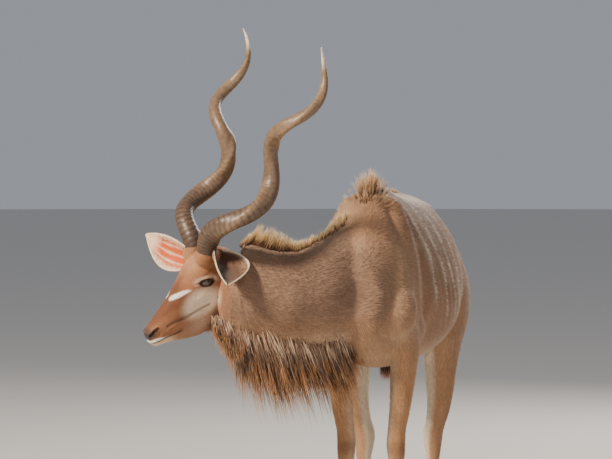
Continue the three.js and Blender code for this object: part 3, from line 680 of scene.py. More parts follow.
def coat_colour(p, n):
    """The coat's colour at places on the skin, from the body's own measure."""
    x, y, z = p.T
    c = np.tile(srgb(150, 112, 84), (len(p), 1))
    c = paint(c, srgb(168, 126, 94), ease(1150, 850, z))
    c = paint(c, srgb(128, 96, 74), ease(1330, 1430, z) * 0.6)
    c = paint(c, srgb(172, 136, 108), ease(200, 420, y) * 0.55)
    c = paint(c, srgb(196, 160, 126), ease(-0.35, -0.85, n[:, 2]) * ease(1100, 850, z))
    # The shoulders are painted paler: painted light on the shoulders.
    shoulder = near(np.stack([np.abs(x), y, z], 1), [110, -520, 1080], [130, 190, 320])
    c = paint(c, srgb(186, 148, 114), 0.75 * shoulder)
    for y0, phase, top, low in stripes:
        wave = y0 + 20 * np.sin((z - 900) / 105 + phase) + 8 * np.sin(z / 37 + phase * 3)
        wave = wave - 0.06 * (z - 1150)
        wide = 6.5 + 2.5 * np.sin(z / 23 + phase * 5)
        line = np.exp(-(((y - wave) / wide) ** 2))
        line = line * ease(low - 30, low + 60, z) * ease(top + 30, top - 40, z)
        c = paint(c, srgb(232, 214, 190), 0.85 * line)
    fore = (y < -100).astype(float)
    inner = ease(0.15, 0.75, -np.sign(x) * n[:, 0])
    low_leg = ease(900, 700, z)
    c = paint(c, srgb(186, 138, 98), low_leg * (0.55 + 0.35 * fore))
    cream = inner * ease(1020, 800, z) * (0.35 + 0.6 * (1 - fore)) * ease(60, 200, z)
    c = paint(c, srgb(232, 212, 184), cream)
    knee = near(np.stack([z], 1), [462], [44]) * ease(-0.4, 0.5, -n[:, 1])
    c = paint(c, srgb(112, 74, 50), fore * 0.45 * knee)
    c = paint(c, srgb(70, 48, 36), 0.85 * ease(160, 120, z) * ease(0.1, 0.8, n[:, 1]))
    c = paint(c, srgb(120, 86, 62), 0.6 * ease(110, 80, z))
    neck = ease(-210, -330, y) * ease(-20, -150, x) + ease(-560, -620, y)
    neck = np.clip(neck, 0, 1) * ease(880, 960, z)
    c = paint(c, srgb(140, 110, 90), 0.8 * neck)
    # The top of the neck is painted lighter: painted light from above.
    c = paint(c, srgb(180, 148, 120), 0.55 * neck * ease(1190, 1240, z))
    c = paint(c, srgb(176, 132, 98), 0.6 * neck * ease(1000, 920, z))
    tail = ease(684, 700, y) * ease(1280, 1200, z)
    c = paint(c, srgb(150, 108, 78), tail)
    c = paint(c, srgb(236, 222, 200), tail * ease(0.1, 0.7, -n[:, 1]))

    h = body_to_head(p)
    hm = np.stack([h[:, 0], np.abs(h[:, 1]), h[:, 2]], 1)
    hx, hy, hz = hm.T
    face = ease(0, 60, (p - (seam_at + seam_way * 20)) @ seam_way)
    f = np.tile(srgb(158, 106, 72), (len(p), 1))
    f = paint(f, srgb(188, 138, 98), near(hm, [-10, 20, 80], [90, 70, 50]))
    f = paint(f, srgb(126, 78, 50), 0.85 * ease(30, 12, hy) * ease(20, 90, hx) * ease(-30, 0, hz))
    f = paint(f, srgb(118, 70, 45), 0.9 * ease(-16, 8, hz) * ease(50, 110, hx))
    f = paint(f, srgb(176, 112, 72), 0.75 * near(hm, [60, 52, 26], [50, 30, 14]))
    cheek = np.linalg.norm((hm - [66, 62, -50]) / [84, 60, 56], axis=1)
    f = paint(f, srgb(246, 220, 190), 0.95 * ease(1.25, 0.6, cheek))
    f = paint(f, srgb(206, 168, 140), 0.75 * near(hm, [100, 40, -120], [110, 50, 60]))
    f = paint(f, srgb(188, 160, 142), 0.6 * near(hm, [-10, 60, -140], [70, 50, 50]))
    f = paint(f, srgb(168, 120, 84), 0.6 * near(hm, [-62, 70, -10], [30, 40, 60]))
    f = paint(f, srgb(120, 80, 56), 0.5 * near(hm, [-64, 10, 96], [44, 30, 30]))
    # The dark patch on the cheek and the dark line along its main crease are painted shade in the crease,
    # with dark whisker roots at the rear of the lip.
    f = paint(f, srgb(104, 70, 54), 0.75 * near(hm, [166, 44, -50], [34, 26, 13]))
    crease = off_line(hm * [1, 0.4, 1], np.array(cheek_creases[0][0]) * [1, 0.4, 1])
    f = paint(f, srgb(110, 72, 52), 0.6 * ease(10, 1, crease))
    off_chevron = off_line(hm, chevron) / (3.5 + 8.5 * ease(50, 120, hx))
    f = paint(f, srgb(252, 244, 230), 0.97 * ease(1.0, 0.55, off_chevron))
    along, over = lid_frame(hm - eye_at)
    lid = np.linalg.norm(np.stack([along / 29, over / 15], 1), axis=1)
    beside_eye = ease(40, 52, hy)
    pale_ring = ease(2.0, 1.4, lid) * ease(1.0, 1.3, lid) * ease(-14, 6, over)
    f = paint(f, srgb(246, 224, 196), 0.5 * pale_ring * beside_eye)
    f = paint(f, srgb(36, 24, 19), 0.95 * ease(1.18, 0.95, lid) * beside_eye)
    tear = np.exp(-(((along - 40) / 9) ** 2 + ((over - 1) / 3.4) ** 2))
    f = paint(f, srgb(62, 40, 30), 0.8 * tear * beside_eye)
    mouth = off_line(hm * [1, 0.25, 1], np.array(mouth_line) * [1, 0.25, 1])
    level = np.interp(hx, [172, 215, 252, 270, 290, 310], [-93, -79, -66, -62, -58, -56])
    lip = ease(226, 250, hx)
    f = paint(f, srgb(176, 128, 96), 0.6 * ease(160, 200, hx) * ease(2, -3, hz - level))
    f = paint(f, srgb(232, 200, 160), 0.9 * ease(200, 250, hx) * ease(2, -3, hz - level))
    f = paint(f, srgb(84, 60, 52), 0.9 * ease(262, 280, hx) * ease(-44, -30, hz) * ease(14, 2, hz))
    lip_height = ease(240, 280, hx)
    white_lip = lip * ease(6 + 12 * lip_height, 3 + 10 * lip_height, hz - level) * ease(-3, 1, hz - level)
    f = paint(f, srgb(250, 242, 226), 0.97 * white_lip)
    f = paint(f, srgb(46, 34, 32), 0.95 * ease(286, 294, hx) * ease(-46, -38, hz))
    # The nostril slots, the mouth line and the corner of the mouth are painted near black: painted shade in
    # the nostrils and in the parting of the lips.
    f = paint(f, srgb(22, 15, 14), 0.97 * ease(9.5, 5.5, off_line(hm, slot_line)))
    f = paint(f, srgb(36, 24, 20), 0.95 * ease(3.6, 1.6, mouth) * ease(172, 185, hx))
    f = paint(f, srgb(62, 40, 30), 0.8 * near(hm, [186, 42, -86], [16, 20, 9]))
    return paint(c, 0, face) + f * face[:, None]


def lay_of_hair(p):
    """The way the hair lies at places on the skin, from the body's own measure."""
    x, y, z = p.T
    lie = np.tile([0, 1, -0.35], (len(p), 1)).astype(float)
    leg = np.where(y < 0, ease(900, 780, z) * ease(-250, -290, y), ease(960, 820, z) * ease(290, 340, y))
    lie = paint(lie, [0, 0.15, -1], leg)
    lie = paint(lie, [0, 0.3, -1], ease(640, 670, y) * ease(1300, 1200, z))
    spot = np.empty(len(p), int)
    for start in range(0, len(p), 20000):
        block = p[start : start + 20000]
        spot[start : start + 20000] = ((block[:, None] - neck_centre[None]) ** 2).sum(2).argmin(1)
    neck = np.clip(ease(-20, -120, x) * ease(-380, -480, y) + ease(-600, -640, y), 0, 1)
    along = -neck_along[spot] + [0, 0, -0.25]
    lie = lie + (along - lie) * neck[:, None]
    head = ease(0, 60, (p - (seam_at + seam_way * 20)) @ seam_way)
    back = -head_axes[:, 0] + 0.12 * head_axes[:, 2]
    return paint(lie, back, head)


def bake_place(place_in_row, way):
    """Where a place on the skin lies on its own unwrap: twelve sheets, by facing and by body side."""
    low, high = (np.array(corner) for corner in cad_box)
    share = (place_in_row - low) / (high - low).max()
    facing = np.abs(way).argmax(1)
    front_side = (way[np.arange(len(way)), facing] > 0).astype(int)
    left_side = (place_in_row[:, 0] > row_shift[0] * 0.001).astype(int)
    sheet = facing * 2 + front_side + 6 * left_side
    first = np.where(facing == 0, share[:, 1], share[:, 0])
    second = np.where(facing == 2, share[:, 1], share[:, 2])
    u = (sheet % 4 + 0.02 + 0.96 * first) / 4
    v = (sheet // 4 + 0.02 + 0.96 * second) / 3
    return np.stack([u, v], 1)


def colour_points(data, colour):
    layer = data.attributes.new("coat", "FLOAT_COLOR", "POINT")
    rgba = np.ones((len(colour), 4), np.float32)
    rgba[:, :3] = colour
    layer.data.foreach_set("color", rgba.ravel())


skin_place, skin_normal = vertex_arrays(skin_data)
# The skin under the coat is painted darker than the coat, as painted shade beneath the hair.
colour_points(skin_data, coat_colour(from_row(skin_place), skin_normal) * 0.82)
loop_vertex = np.empty(len(skin_data.loops), int)
skin_data.loops.foreach_get("vertex_index", loop_vertex)
face_total = np.empty(len(skin_data.polygons), int)
skin_data.polygons.foreach_get("loop_total", face_total)
face_way = np.empty(len(skin_data.polygons) * 3)
skin_data.polygons.foreach_get("normal", face_way)
face_of_loop = np.repeat(np.arange(len(face_total)), face_total)
skin_map = skin_data.uv_layers.new(name="OFBake")
skin_uv = bake_place(skin_place[loop_vertex], face_way.reshape(-1, 3)[face_of_loop])
skin_map.data.foreach_set("uv", skin_uv.ravel().astype(np.float32))


def painted_material(name, sockets, grains=(), relief=None):
    """The painted colour, broken by grains of noise, over a shallow relief of the first grain.

    A grain is the noise's own sockets and a range from it: from low, from high, to dark, to light.
    """
    material = bpy.data.materials.new(name)
    material.use_nodes = True
    nodes, links = material.node_tree.nodes, material.node_tree.links
    shader = nodes["Principled BSDF"]
    for socket, value in sockets.items():
        shader.inputs[socket].default_value = value
    painted = nodes.new("ShaderNodeAttribute")
    painted.attribute_name = "coat"
    colour = painted.outputs["Color"]
    coordinates = nodes.new("ShaderNodeTexCoord")
    noises = []
    for settings, span in grains:
        noise = nodes.new("ShaderNodeTexNoise")
        for socket, value in settings.items():
            noise.inputs[socket].default_value = value
        links.new(coordinates.outputs["Object"], noise.inputs["Vector"])
        ramp = nodes.new("ShaderNodeMapRange")
        for socket, value in zip(("From Min", "From Max", "To Min", "To Max"), span):
            ramp.inputs[socket].default_value = value
        links.new(noise.outputs["Fac"], ramp.inputs["Value"])
        tint = nodes.new("ShaderNodeVectorMath")
        tint.operation = "SCALE"
        links.new(colour, tint.inputs[0])
        links.new(ramp.outputs["Result"], tint.inputs["Scale"])
        colour = tint.outputs["Vector"]
        noises.append(noise)
    links.new(colour, shader.inputs["Base Color"])
    if relief:
        bump = nodes.new("ShaderNodeBump")
        bump.inputs["Strength"].default_value, bump.inputs["Distance"].default_value = relief
        links.new(noises[0].outputs["Fac"], bump.inputs["Height"])
        links.new(bump.outputs["Normal"], shader.inputs["Normal"])
    return material


def hair_material(name, rough, grain, relief):
    """Hair seen close: fine flecks and wide soft clouds in the painted colour."""
    sheen = {"Roughness": rough, "Specular IOR Level": 0.25, "Sheen Weight": 0.15, "Sheen Roughness": 0.5}
    flecks = ({"Scale": grain, "Detail": 4}, (0.25, 0.75, 0.78, 1.18))
    clouds = ({"Scale": 9, "Detail": 3}, (0.3, 0.7, 0.88, 1.1))
    return painted_material(name, sheen, (flecks, clouds), relief)


skin_hair = hair_material("skin_hair", 0.72, 260, (0.5, 0.002))
skin_data.materials.append(skin_hair)
fur_hair = hair_material("fur_hair", 0.62, 120, None)


def piece_from(shape, name, material, tones=None):
    """A modelled shape as an object of its own, with its material and any painted colours."""
    data = bpy.data.meshes.new(name)
    shape.to_mesh(data)
    shape.free()
    if tones is not None:
        colour_points(data, tones)
    data.materials.append(material)
    piece = bpy.data.objects.new(name, data)
    bpy.context.scene.collection.objects.link(piece)
    return piece


# Eyes: large wet balls, nearly black, with a dark brown iris and a pupil drawn out level. Each is its
# own piece in the socket between the lids.
wet = {"Roughness": 0.06, "Specular IOR Level": 0.6, "Coat Weight": 1.0, "Coat Roughness": 0.02}
wet_eye = painted_material("wet_eye", wet)
eyeball_radius = 23.7
for name, sign in (("eye_left", 1), ("eye_right", -1)):
    ball = bmesh.new()
    bmesh.ops.create_uvsphere(ball, u_segments=64, v_segments=40, radius=eyeball_radius)
    gaze = np.array([0.16, sign * 0.98, 0.05])
    gaze /= np.linalg.norm(gaze)
    turn = Vector((0, 0, 1)).rotation_difference(Vector(gaze)).to_matrix()
    bmesh.ops.transform(ball, matrix=turn.to_4x4(), verts=ball.verts)
    local = np.array([v.co for v in ball.verts])
    for vert, spot in zip(ball.verts, to_row(head_to_body(local + eye_at * [1, sign, 1]))):
        vert.co = spot
    for face in ball.faces:
        face.smooth = True
    bmesh.ops.recalc_face_normals(ball, faces=ball.faces)
    across = local - (local @ gaze)[:, None] * gaze
    ring = np.linalg.norm(across, axis=1) + 40 * (local @ gaze < 0)
    pupil = np.linalg.norm(across * [0.55, 0.55, 1.15], axis=1) + 40 * (local @ gaze < 0)
    tone = np.tile(srgb(30, 19, 14), (len(local), 1))
    tone = paint(tone, srgb(56, 30, 17), ease(16.5, 14.0, ring))
    tone = paint(tone, srgb(60, 32, 18), ease(14, 9, ring) * 0.6)
    tone = paint(tone, srgb(8, 6, 6), ease(6.6, 5.4, pupil))
    eye = piece_from(ball, name + "_wet", wet_eye, tone)
    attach(eye, "root")
    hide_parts(name)

# Horns: solid sheaths of horn that wind twice about a leaning line, with a keel that winds with them,
# wrinkled across near the base and smooth and ivory at the tip.
horn_at = np.array([-64.0, 51, 78])
horn_back, horn_out = math.radians(61.2), math.radians(17)
horn_length, horn_base, horn_turns = 895, 41, 2.08
horn_coil = (54, 44)
horn_phase, horn_keel = math.radians(75), math.radians(200)
horn_bow = 32
horn_taper = [[0, 1.02], [0.06, 0.98], [0.3, 0.86], [0.55, 0.7], [0.78, 0.5], [0.92, 0.26], [1, 0.05]]
horn_axis = np.array([-math.sin(horn_back), 0, math.cos(horn_back)]) * math.cos(horn_out)
horn_axis[1] = math.sin(horn_out)
horn_first = np.cross(horn_axis, AXIS_Y)
horn_first /= np.linalg.norm(horn_first)
horn_second = np.cross(horn_axis, horn_first)


def horn_point(t):
    angle = horn_phase + 2 * np.pi * horn_turns * t
    coil = horn_coil[0] + (horn_coil[1] - horn_coil[0]) * t
    start = horn_first * math.cos(horn_phase) + horn_second * math.sin(horn_phase)
    return (
        horn_at
        + horn_axis * horn_length * t
        + (horn_first * math.cos(angle) + horn_second * math.sin(angle)) * coil
        - start * horn_coil[0]
        + horn_first * horn_bow * 4 * t * (1 - t)
    )


horn_grain = ({"Scale": 70, "Detail": 6, "Distortion": 0.6}, (0.3, 0.7, 0.72, 1.25))
horn_gloss = {"Roughness": 0.42, "Specular IOR Level": 0.45}
horn_material = painted_material("horn_sheath", horn_gloss, (horn_grain,), (0.35, 0.0015))

horn_steps = 300
for name, sign in (("horn_left", 1), ("horn_right", -1)):
    sheath = bmesh.new()
    rings_of_horn, tone_of_horn = [], []
    for t in np.linspace(-0.012, 1, horn_steps + 1):
        along = horn_point(t + 0.004) - horn_point(t - 0.004)
        along /= np.linalg.norm(along)
        across = np.cross(along, AXIS_Z)
        across /= np.linalg.norm(across)
        over = np.cross(across, along)
        angle = 2 * np.pi * np.arange(36) / 36
        keel = np.maximum(0, np.cos(angle)) ** 5
        wrinkling = np.interp(t, [0.0, 0.12, 0.42, 0.6], [1, 1, 0.35, 0.0])
        crease = np.sin(2 * np.pi * t * horn_length / 15.5 + 0.9 * np.sin(angle * 2 + t * 9))
        crease = np.where(crease < 0, crease * 1.3, crease * 0.5)
        fine_crease = np.sin(2 * np.pi * t * horn_length / 6.3 + 1.4 * np.sin(angle * 3 - t * 21))
        radius = horn_base * row_at(horn_taper, max(0, t))[0]
        spread = radius * (0.9 + 0.29 * keel) * (1 + wrinkling * (0.020 * crease + 0.007 * fine_crease)) - 0.4
        spread = spread * (1 - 0.02 * np.maximum(0, -np.cos(angle)))
        turned = angle + horn_keel + 2 * np.pi * horn_turns * t
        ring = horn_point(t) + spread[:, None] * (
            np.cos(turned)[:, None] * across + np.sin(turned)[:, None] * over
        )
        rings_of_horn.append(to_row(head_to_body(ring * [1, sign, 1])))
        tone = np.tile(srgb(92, 72, 57), (36, 1))
        tone = paint(tone, srgb(118, 94, 72), np.full(36, float(ease(0.2, 0.7, t))))
        tone = paint(tone, srgb(56, 43, 36), np.full(36, 0.8 * float(ease(0.1, -0.02, t))))
        tone = paint(tone, srgb(146, 118, 88), 0.5 * keel)
        # The troughs of the wrinkles are painted darker: painted shade in the creases.
        tone = paint(tone, srgb(48, 37, 31), wrinkling * 0.55 * ease(0.2, 1.2, -crease))
        tone = paint(tone, srgb(232, 210, 176), np.full(36, float(ease(0.91, 0.97, t))))
        tone_of_horn.append(tone)
    loft(sheath, rings_of_horn)
    bmesh.ops.recalc_face_normals(sheath, faces=sheath.faces)
    for face in sheath.faces:
        face.smooth = True
    horn = piece_from(sheath, name + "_sheath", horn_material, np.concatenate(tone_of_horn))
    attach(horn, "root")
    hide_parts(name)

# Hooves: two toes of dark horn on each foot, drawn in at the coronet and flat underneath, with faint
# rings of growth and the soft bulbs of the heel behind.
hoof_material = bpy.data.materials.new("hoof_horn")
hoof_material.use_nodes = True
hoof_nodes, hoof_links = hoof_material.node_tree.nodes, hoof_material.node_tree.links
hoof_shader = hoof_nodes["Principled BSDF"]
hoof_shader.inputs["Roughness"].default_value = 0.55
hoof_coordinates = hoof_nodes.new("ShaderNodeTexCoord")
hoof_wave = hoof_nodes.new("ShaderNodeTexWave")
hoof_wave.bands_direction = "Z"
for socket, value in (("Scale", 55), ("Distortion", 2.5), ("Detail", 3)):
    hoof_wave.inputs[socket].default_value = value
hoof_links.new(hoof_coordinates.outputs["Object"], hoof_wave.inputs["Vector"])
hoof_ramp = hoof_nodes.new("ShaderNodeValToRGB")
hoof_ramp.color_ramp.elements[0].color = (*srgb(36, 29, 26), 1)
hoof_ramp.color_ramp.elements[1].color = (*srgb(74, 60, 50), 1)
hoof_links.new(hoof_wave.outputs["Fac"], hoof_ramp.inputs["Fac"])
hoof_links.new(hoof_ramp.outputs["Color"], hoof_shader.inputs["Base Color"])
hoof_bump = hoof_nodes.new("ShaderNodeBump")
hoof_bump.inputs["Strength"].default_value = 0.4
hoof_bump.inputs["Distance"].default_value = 0.001
hoof_links.new(hoof_wave.outputs["Fac"], hoof_bump.inputs["Height"])
hoof_links.new(hoof_bump.outputs["Normal"], hoof_shader.inputs["Normal"])

# [height, apart, ahead, half width, half depth]
toe_rows = [[0, 17.5, 448, 16, 50], [8, 17.5, 448, 16.5, 49], [38, 15.5, 442, 15, 41],
            [60, 14, 437, 13.5, 34], [70, 13.8, 434, 13, 31]]
for leg, stance in stances.items():
    rows, sign, stride, splay = stance
    fore = rows is foreleg_rows
    swing = 1 - 66 / hip_height
    foot_x = sign * ((95 if fore else 118) + splay * swing)
    foot_y = (-436 if fore else 545) + stride * swing
    foot = bmesh.new()
    for turn in (1, -1):
        toe = []
        for z in (0, 1.5, 5, 10, 18, 26, 34, 42, 50, 58, 64, 69):
            apart, ahead, half, depth = row_at(toe_rows, z)
            grow = 1.0 - (0.05 if z == 0 else 0.012)
            depth *= (1 if fore else 0.96) * grow
            toe.append(
                to_row(
                    oval(
                        (
                            np.array([foot_x + turn * apart, foot_y - (ahead - 436), z]),
                            AXIS_X, AXIS_Y, half * grow, depth, depth, 2.3, 1.75,
                        ),
                        32,
                    )
                )
            )
        loft(foot, toe)
        lump(foot, np.array([foot_x + turn * 12, foot_y + 24, 44]), np.array([12, 14, 20]))
    bmesh.ops.recalc_face_normals(foot, faces=foot.faces)
    for face in foot.faces:
        face.smooth = abs(face.normal.z) < 0.9
    name = leg.replace("leg", "hoof")
    hoof = piece_from(foot, name + "_toes", hoof_material)
    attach(hoof, "root")
    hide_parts(name)

# Ears: broad leaves of gristle and skin, rolled to a tube at the root. Brown behind, bare inside, with a
# pale rim. Inside, the left one is painted dark brown as shade in its cup and paler low at the rear as
# painted light, and the right one is painted glowing orange as light shining through it. The left one
# droops outwards and back, the right one is raised.
ear_rows = [[0, 26, 140], [0.12, 36, 118], [0.26, 50, 92], [0.42, 60, 74], [0.6, 58, 62], [0.76, 44, 54],
            [0.88, 27, 46], [0.97, 10, 40], [1, 4, 36]]
ear_length = 230
ears = {
    "ear_left": ([-70, 54, 40], [0.36, -0.87, -0.34], [0.28, -0.44, 0.86], 37, 1.11),
    "ear_right": ([-60, -60, 28], [-0.9, 0.05, 0.43], [0.1, -0.99, -0.1], 22, 1.0),
}
ear_arc = 26
ear_maps = {}
for name, (root, along, opening, sweep, broad) in ears.items():
    ear_x = np.array(along) / np.linalg.norm(along)
    ear_z = np.array(opening) - (np.array(opening) @ ear_x) * ear_x
    ear_z /= np.linalg.norm(ear_z)
    ear_axes = np.stack([ear_x, np.cross(ear_z, ear_x), ear_z], 1)
    ear_root = head_to_body(root)
    leaf = bmesh.new()
    leaf_rings, leaf_tone = [], []
    inner_grid, outer_grid = [], []
    for t in np.linspace(0, 1, 56):
        half, wrap = row_at(ear_rows, t) * [broad, 1]
        wrap = math.radians(wrap)
        radius = half / math.sin(min(wrap, math.pi / 2))
        thick = min(4.2, half * 0.45)
        aside = sweep * math.sin(math.pi * t**0.85)
        angle = np.linspace(-wrap, wrap, ear_arc)
        ripple = 1.2 * np.sin(angle * 7 + t * 5) * ease(0.15, 0.5, t) * ease(1.0, 0.8, t)

        def arc(r, a):
            up_the_leaf = np.full(len(a), ear_length * t)
            return np.stack([up_the_leaf, aside + r * np.sin(a), radius - r * np.cos(a)], 1)

        outer = arc(radius - 0.4, angle)
        inner = arc(radius - 0.4 - thick + ripple * 0.4, angle[::-1] * (1 - 0.3 * thick / radius / wrap))
        leaf_rings.append(to_row(ear_root + np.concatenate([outer, inner]) @ ear_axes.T))
        outer_grid.append(ear_root + outer @ ear_axes.T)
        inner_grid.append(ear_root + inner[::-1] @ ear_axes.T)
        rim = np.abs(np.linspace(-1, 1, ear_arc)) ** (16 if name == "ear_left" else 8)
        back_tone = paint(np.tile(srgb(140, 100, 74), (ear_arc, 1)), srgb(232, 208, 178), 0.8 * rim)
        back_tone = paint(back_tone, srgb(226, 200, 168), np.full(ear_arc, 0.8 * float(ease(0.93, 1.0, t))))
        over_cup = np.linspace(-1, 1, ear_arc)
        if name == "ear_left":
            # The left ear's cup is painted dark brown, darkest by the front rim, as painted shade, and
            # paler low at the rear as painted light on the cup's floor.
            cup_tone = np.tile(srgb(50, 33, 26), (ear_arc, 1))
            cup_tone = paint(cup_tone, srgb(96, 68, 52), ease(-0.6, 0.2, over_cup))
            lit_low_rear = 0.8 * ease(0.35, 0.95, over_cup) * float(ease(0.15, 0.55, t))
            cup_tone = paint(cup_tone, srgb(186, 144, 112), lit_low_rear)
        else:
            # The right ear's inside is painted glowing orange, as painted light shining through it, with
            # pale streaks of hair and a darker glow towards the root.
            streak = ease(0.3, 0.95, np.cos(over_cup * 15 + 0.8 * math.sin(t * 6)))
            pale = np.maximum(0.8 * streak, ease(0.55, 0.8, np.abs(over_cup)))
            pale = np.maximum(pale, float(ease(0.66, 0.84, t)))
            cup_tone = paint(np.tile(srgb(208, 98, 50), (ear_arc, 1)), srgb(242, 208, 178), pale)
            cup_tone = paint(cup_tone, srgb(150, 72, 42), np.full(ear_arc, 0.8 * float(ease(0.3, 0.1, t))))
        cup_tone = paint(cup_tone, srgb(246, 228, 204), 0.9 * rim)
        leaf_tone.append(np.concatenate([back_tone, cup_tone[::-1]]))
    loft(leaf, leaf_rings)
    bmesh.ops.recalc_face_normals(leaf, faces=leaf.faces)
    for face in leaf.faces:
        face.smooth = True
    ear = piece_from(leaf, name + "_leaf", skin_hair, np.concatenate(leaf_tone))
    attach(ear, "root")
    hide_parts(name)
    ear_maps[name] = (np.array(outer_grid), np.array(inner_grid), ear_axes)


# Mane: a ridge of stiff hair along the top of the neck, brown at the root and straw-pale at the tip,
# tallest behind the horns. Each hair is a three-sided tapering strand that bends from its root in the
# hide, and the strands are gathered in pointed locks.
draw = np.random.default_rng(31)


def unit(v):
    return v / np.maximum(np.linalg.norm(v, axis=-1, keepdims=True), 1e-9)


def faces_mesh(name, points, faces, colour, roots, root_way, soft_normal=None):
    """A mesh of many small closed forms, with its colour, its bake map and its place in the scene."""
    data = bpy.data.meshes.new(name)
    data.vertices.add(len(points))
    data.vertices.foreach_set("co", to_row(points).astype(np.float32).ravel())
    corners = np.concatenate([f.ravel() for f in faces])
    totals = np.concatenate([np.full(len(f), f.shape[1]) for f in faces])
    data.loops.add(len(corners))
    data.loops.foreach_set("vertex_index", corners.astype(np.int32))
    data.polygons.add(len(totals))
    data.polygons.foreach_set("loop_start", np.concatenate([[0], np.cumsum(totals)[:-1]]).astype(np.int32))
    data.update(calc_edges=True)
    colour_points(data, colour)
    spots = bake_place(to_row(roots), root_way)
    wobble = (np.arange(len(points)) * 0.61803) % 1.0
    patch = spots + 0.0015 * np.stack([np.cos(6.283 * wobble), np.sin(6.283 * wobble)], 1)
    bake = data.uv_layers.new(name="OFBake")
    bake.data.foreach_set("uv", patch[corners].astype(np.float32).ravel())
    data.polygons.foreach_set("use_smooth", np.ones(len(totals), bool))
    if soft_normal is not None:
        data.normals_split_custom_set_from_vertices(unit(soft_normal).astype(np.float32))
    data.materials.append(fur_hair)
    piece = bpy.data.objects.new(name, data)
    bpy.context.scene.collection.objects.link(piece)
    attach(piece, "root")
    return piece


def strands(name, root, way, fall, length, width, tones, root_way, segments=6, wave=0.02):
    """Strands from roots: each sets off along way, bends towards fall and tapers to a point."""
    n = len(root)
    way, fall = unit(way), unit(fall)
    steps = np.arange(segments + 1) / segments
    phase = draw.uniform(0, 6.28, n)
    swing = unit(np.cross(way, unit(draw.normal(size=(n, 3)))))
    blend = np.clip(steps, 0, 1) ** 1.3
    heading = unit(way[:, None] * (1 - blend)[None, :, None] + fall[:, None] * blend[None, :, None])
    step_length = (length / segments)[:, None, None]
    path = np.concatenate([np.zeros((n, 1, 3)), np.cumsum(heading[:, :-1] * step_length, axis=1)], axis=1)
    sway = wave * length[:, None] * np.sin(phase[:, None] + 4.2 * steps[None]) * steps[None]
    path = root[:, None] + path + swing[:, None] * sway[..., None]
    flat = unit(np.cross(heading, swing[:, None]))
    thin = np.cross(heading, flat)
    taper = np.interp(steps, [0, 0.5, 1], [1, 0.78, 0.06])
    points = []
    for k in range(3):
        a = 2 * np.pi * k / 3
        points.append(
            path[:, :segments]
            + (0.5 * width[:, None] * taper[:segments])[..., None]
            * (math.cos(a) * flat[:, :segments] + 0.55 * math.sin(a) * thin[:, :segments])
        )
    body = np.stack(points, axis=2).reshape(n, segments * 3, 3)
    points = np.concatenate([body, path[:, segments:]], axis=1).reshape(-1, 3)
    each = segments * 3 + 1
    base = (np.arange(n) * each)[:, None]
    quads = []
    for s in range(segments - 1):
        for k in range(3):
            j = (k + 1) % 3
            quads.append([s * 3 + k, s * 3 + j, s * 3 + 3 + j, s * 3 + 3 + k])
    last = (segments - 1) * 3
    tips = [[last + k, last + (k + 1) % 3, each - 1] for k in range(3)] + [[0, 2, 1]]
    quads = (base[:, None] + np.array(quads)[None]).reshape(-1, 4)
    tips = (base[:, None] + np.array(tips)[None]).reshape(-1, 3)
    spot = steps * (tones.shape[1] - 1)
    low = np.minimum(spot.astype(int), tones.shape[1] - 2)
    w = (spot - low)[None, :, None]
    tone = (tones[:, low] * (1 - w) + tones[:, low + 1] * w) * draw.uniform(0.8, 1.2, (n, 1, 1))
    colour = np.concatenate([np.repeat(tone[:, :segments], 3, axis=1), tone[:, segments:]], axis=1)
    spots, ways = (np.repeat(v, each, axis=0) for v in (root, root_way))
    faces_mesh(name, points, [quads, tips], colour.reshape(-1, 3), spots, ways)


def on_oval(section, degrees):
    """A place on a section's edge at an angle, and the way out there."""
    centre, side, up, half, rise, drop, top, low = section
    c, s = math.cos(math.radians(degrees)), math.sin(math.radians(degrees))
    power = 2 / (top if s >= 0 else low)
    high = rise if s >= 0 else drop
    spot = centre + side * half * math.copysign(abs(c) ** power, c)
    spot = spot + up * high * math.copysign(abs(s) ** power, s)
    out = side * c / half + up * s / high
    return spot, out / np.linalg.norm(out)


few = 1.0


def locks(
    name, places, ways, falls, lengths, per_lock, spread, width, tones, segments=6, gather=0.35, wave=0.02
):
    """Locks of strands: roots scattered round each place, and tips drawn together."""
    per = max(2, int(per_lock * few))
    place, out = (np.repeat(np.array(v, float), per, axis=0) for v in (places, ways))
    fall = np.repeat(np.array(falls, float), per, axis=0)
    length = np.repeat(np.array(lengths, float), per) * draw.uniform(0.72, 1.03, len(place))
    scatter = draw.normal(size=place.shape) * spread * 0.5
    scatter -= (scatter * out).sum(1, keepdims=True) * out
    lean = unit(fall) - gather * scatter / length[:, None]
    tones = np.array(tones)
    if tones.ndim == 2:
        tones = np.tile(tones[None], (len(place), 1, 1))
    else:
        tones = np.repeat(tones, per, axis=0)
    strands(
        name, place + scatter - out * 5, out + 0.10 * draw.normal(size=place.shape), lean, length,
        draw.uniform(0.75, 1.25, len(place)) * width, tones, out, segments, wave,
    )


places, ways, falls, lengths = [], [], [], []
for k, t in enumerate(np.linspace(0.9, 0.14, 150)):
    section = neck_section(t)
    spike = 0.62 + 0.5 * abs(math.sin(k * 0.37)) * draw.uniform(0.8, 1.1)
    for _ in range(2):
        spot, out = on_oval(section, 90 + draw.normal() * 4)
        along = curve_at(neck_path, t)[1]
        places.append(spot - out * 6)
        ways.append(unit(out + 0.15 * draw.normal(size=3) - along * 0.1))
        falls.append(out - along * draw.uniform(0.1, 0.5) + 0.12 * draw.normal(size=3))
        tall = np.interp(t, [0.14, 0.3, 0.5, 0.6, 0.84, 0.9], [34, 30, 42, 74, 84, 50])
        lengths.append((tall + 8) * spike)
mane_tones = [srgb(88, 58, 42), srgb(118, 80, 56), srgb(214, 176, 120), srgb(246, 226, 180)]
locks("mane_hair", places, ways, falls, lengths, 7, 7, 2.3, mane_tones, gather=0.9)

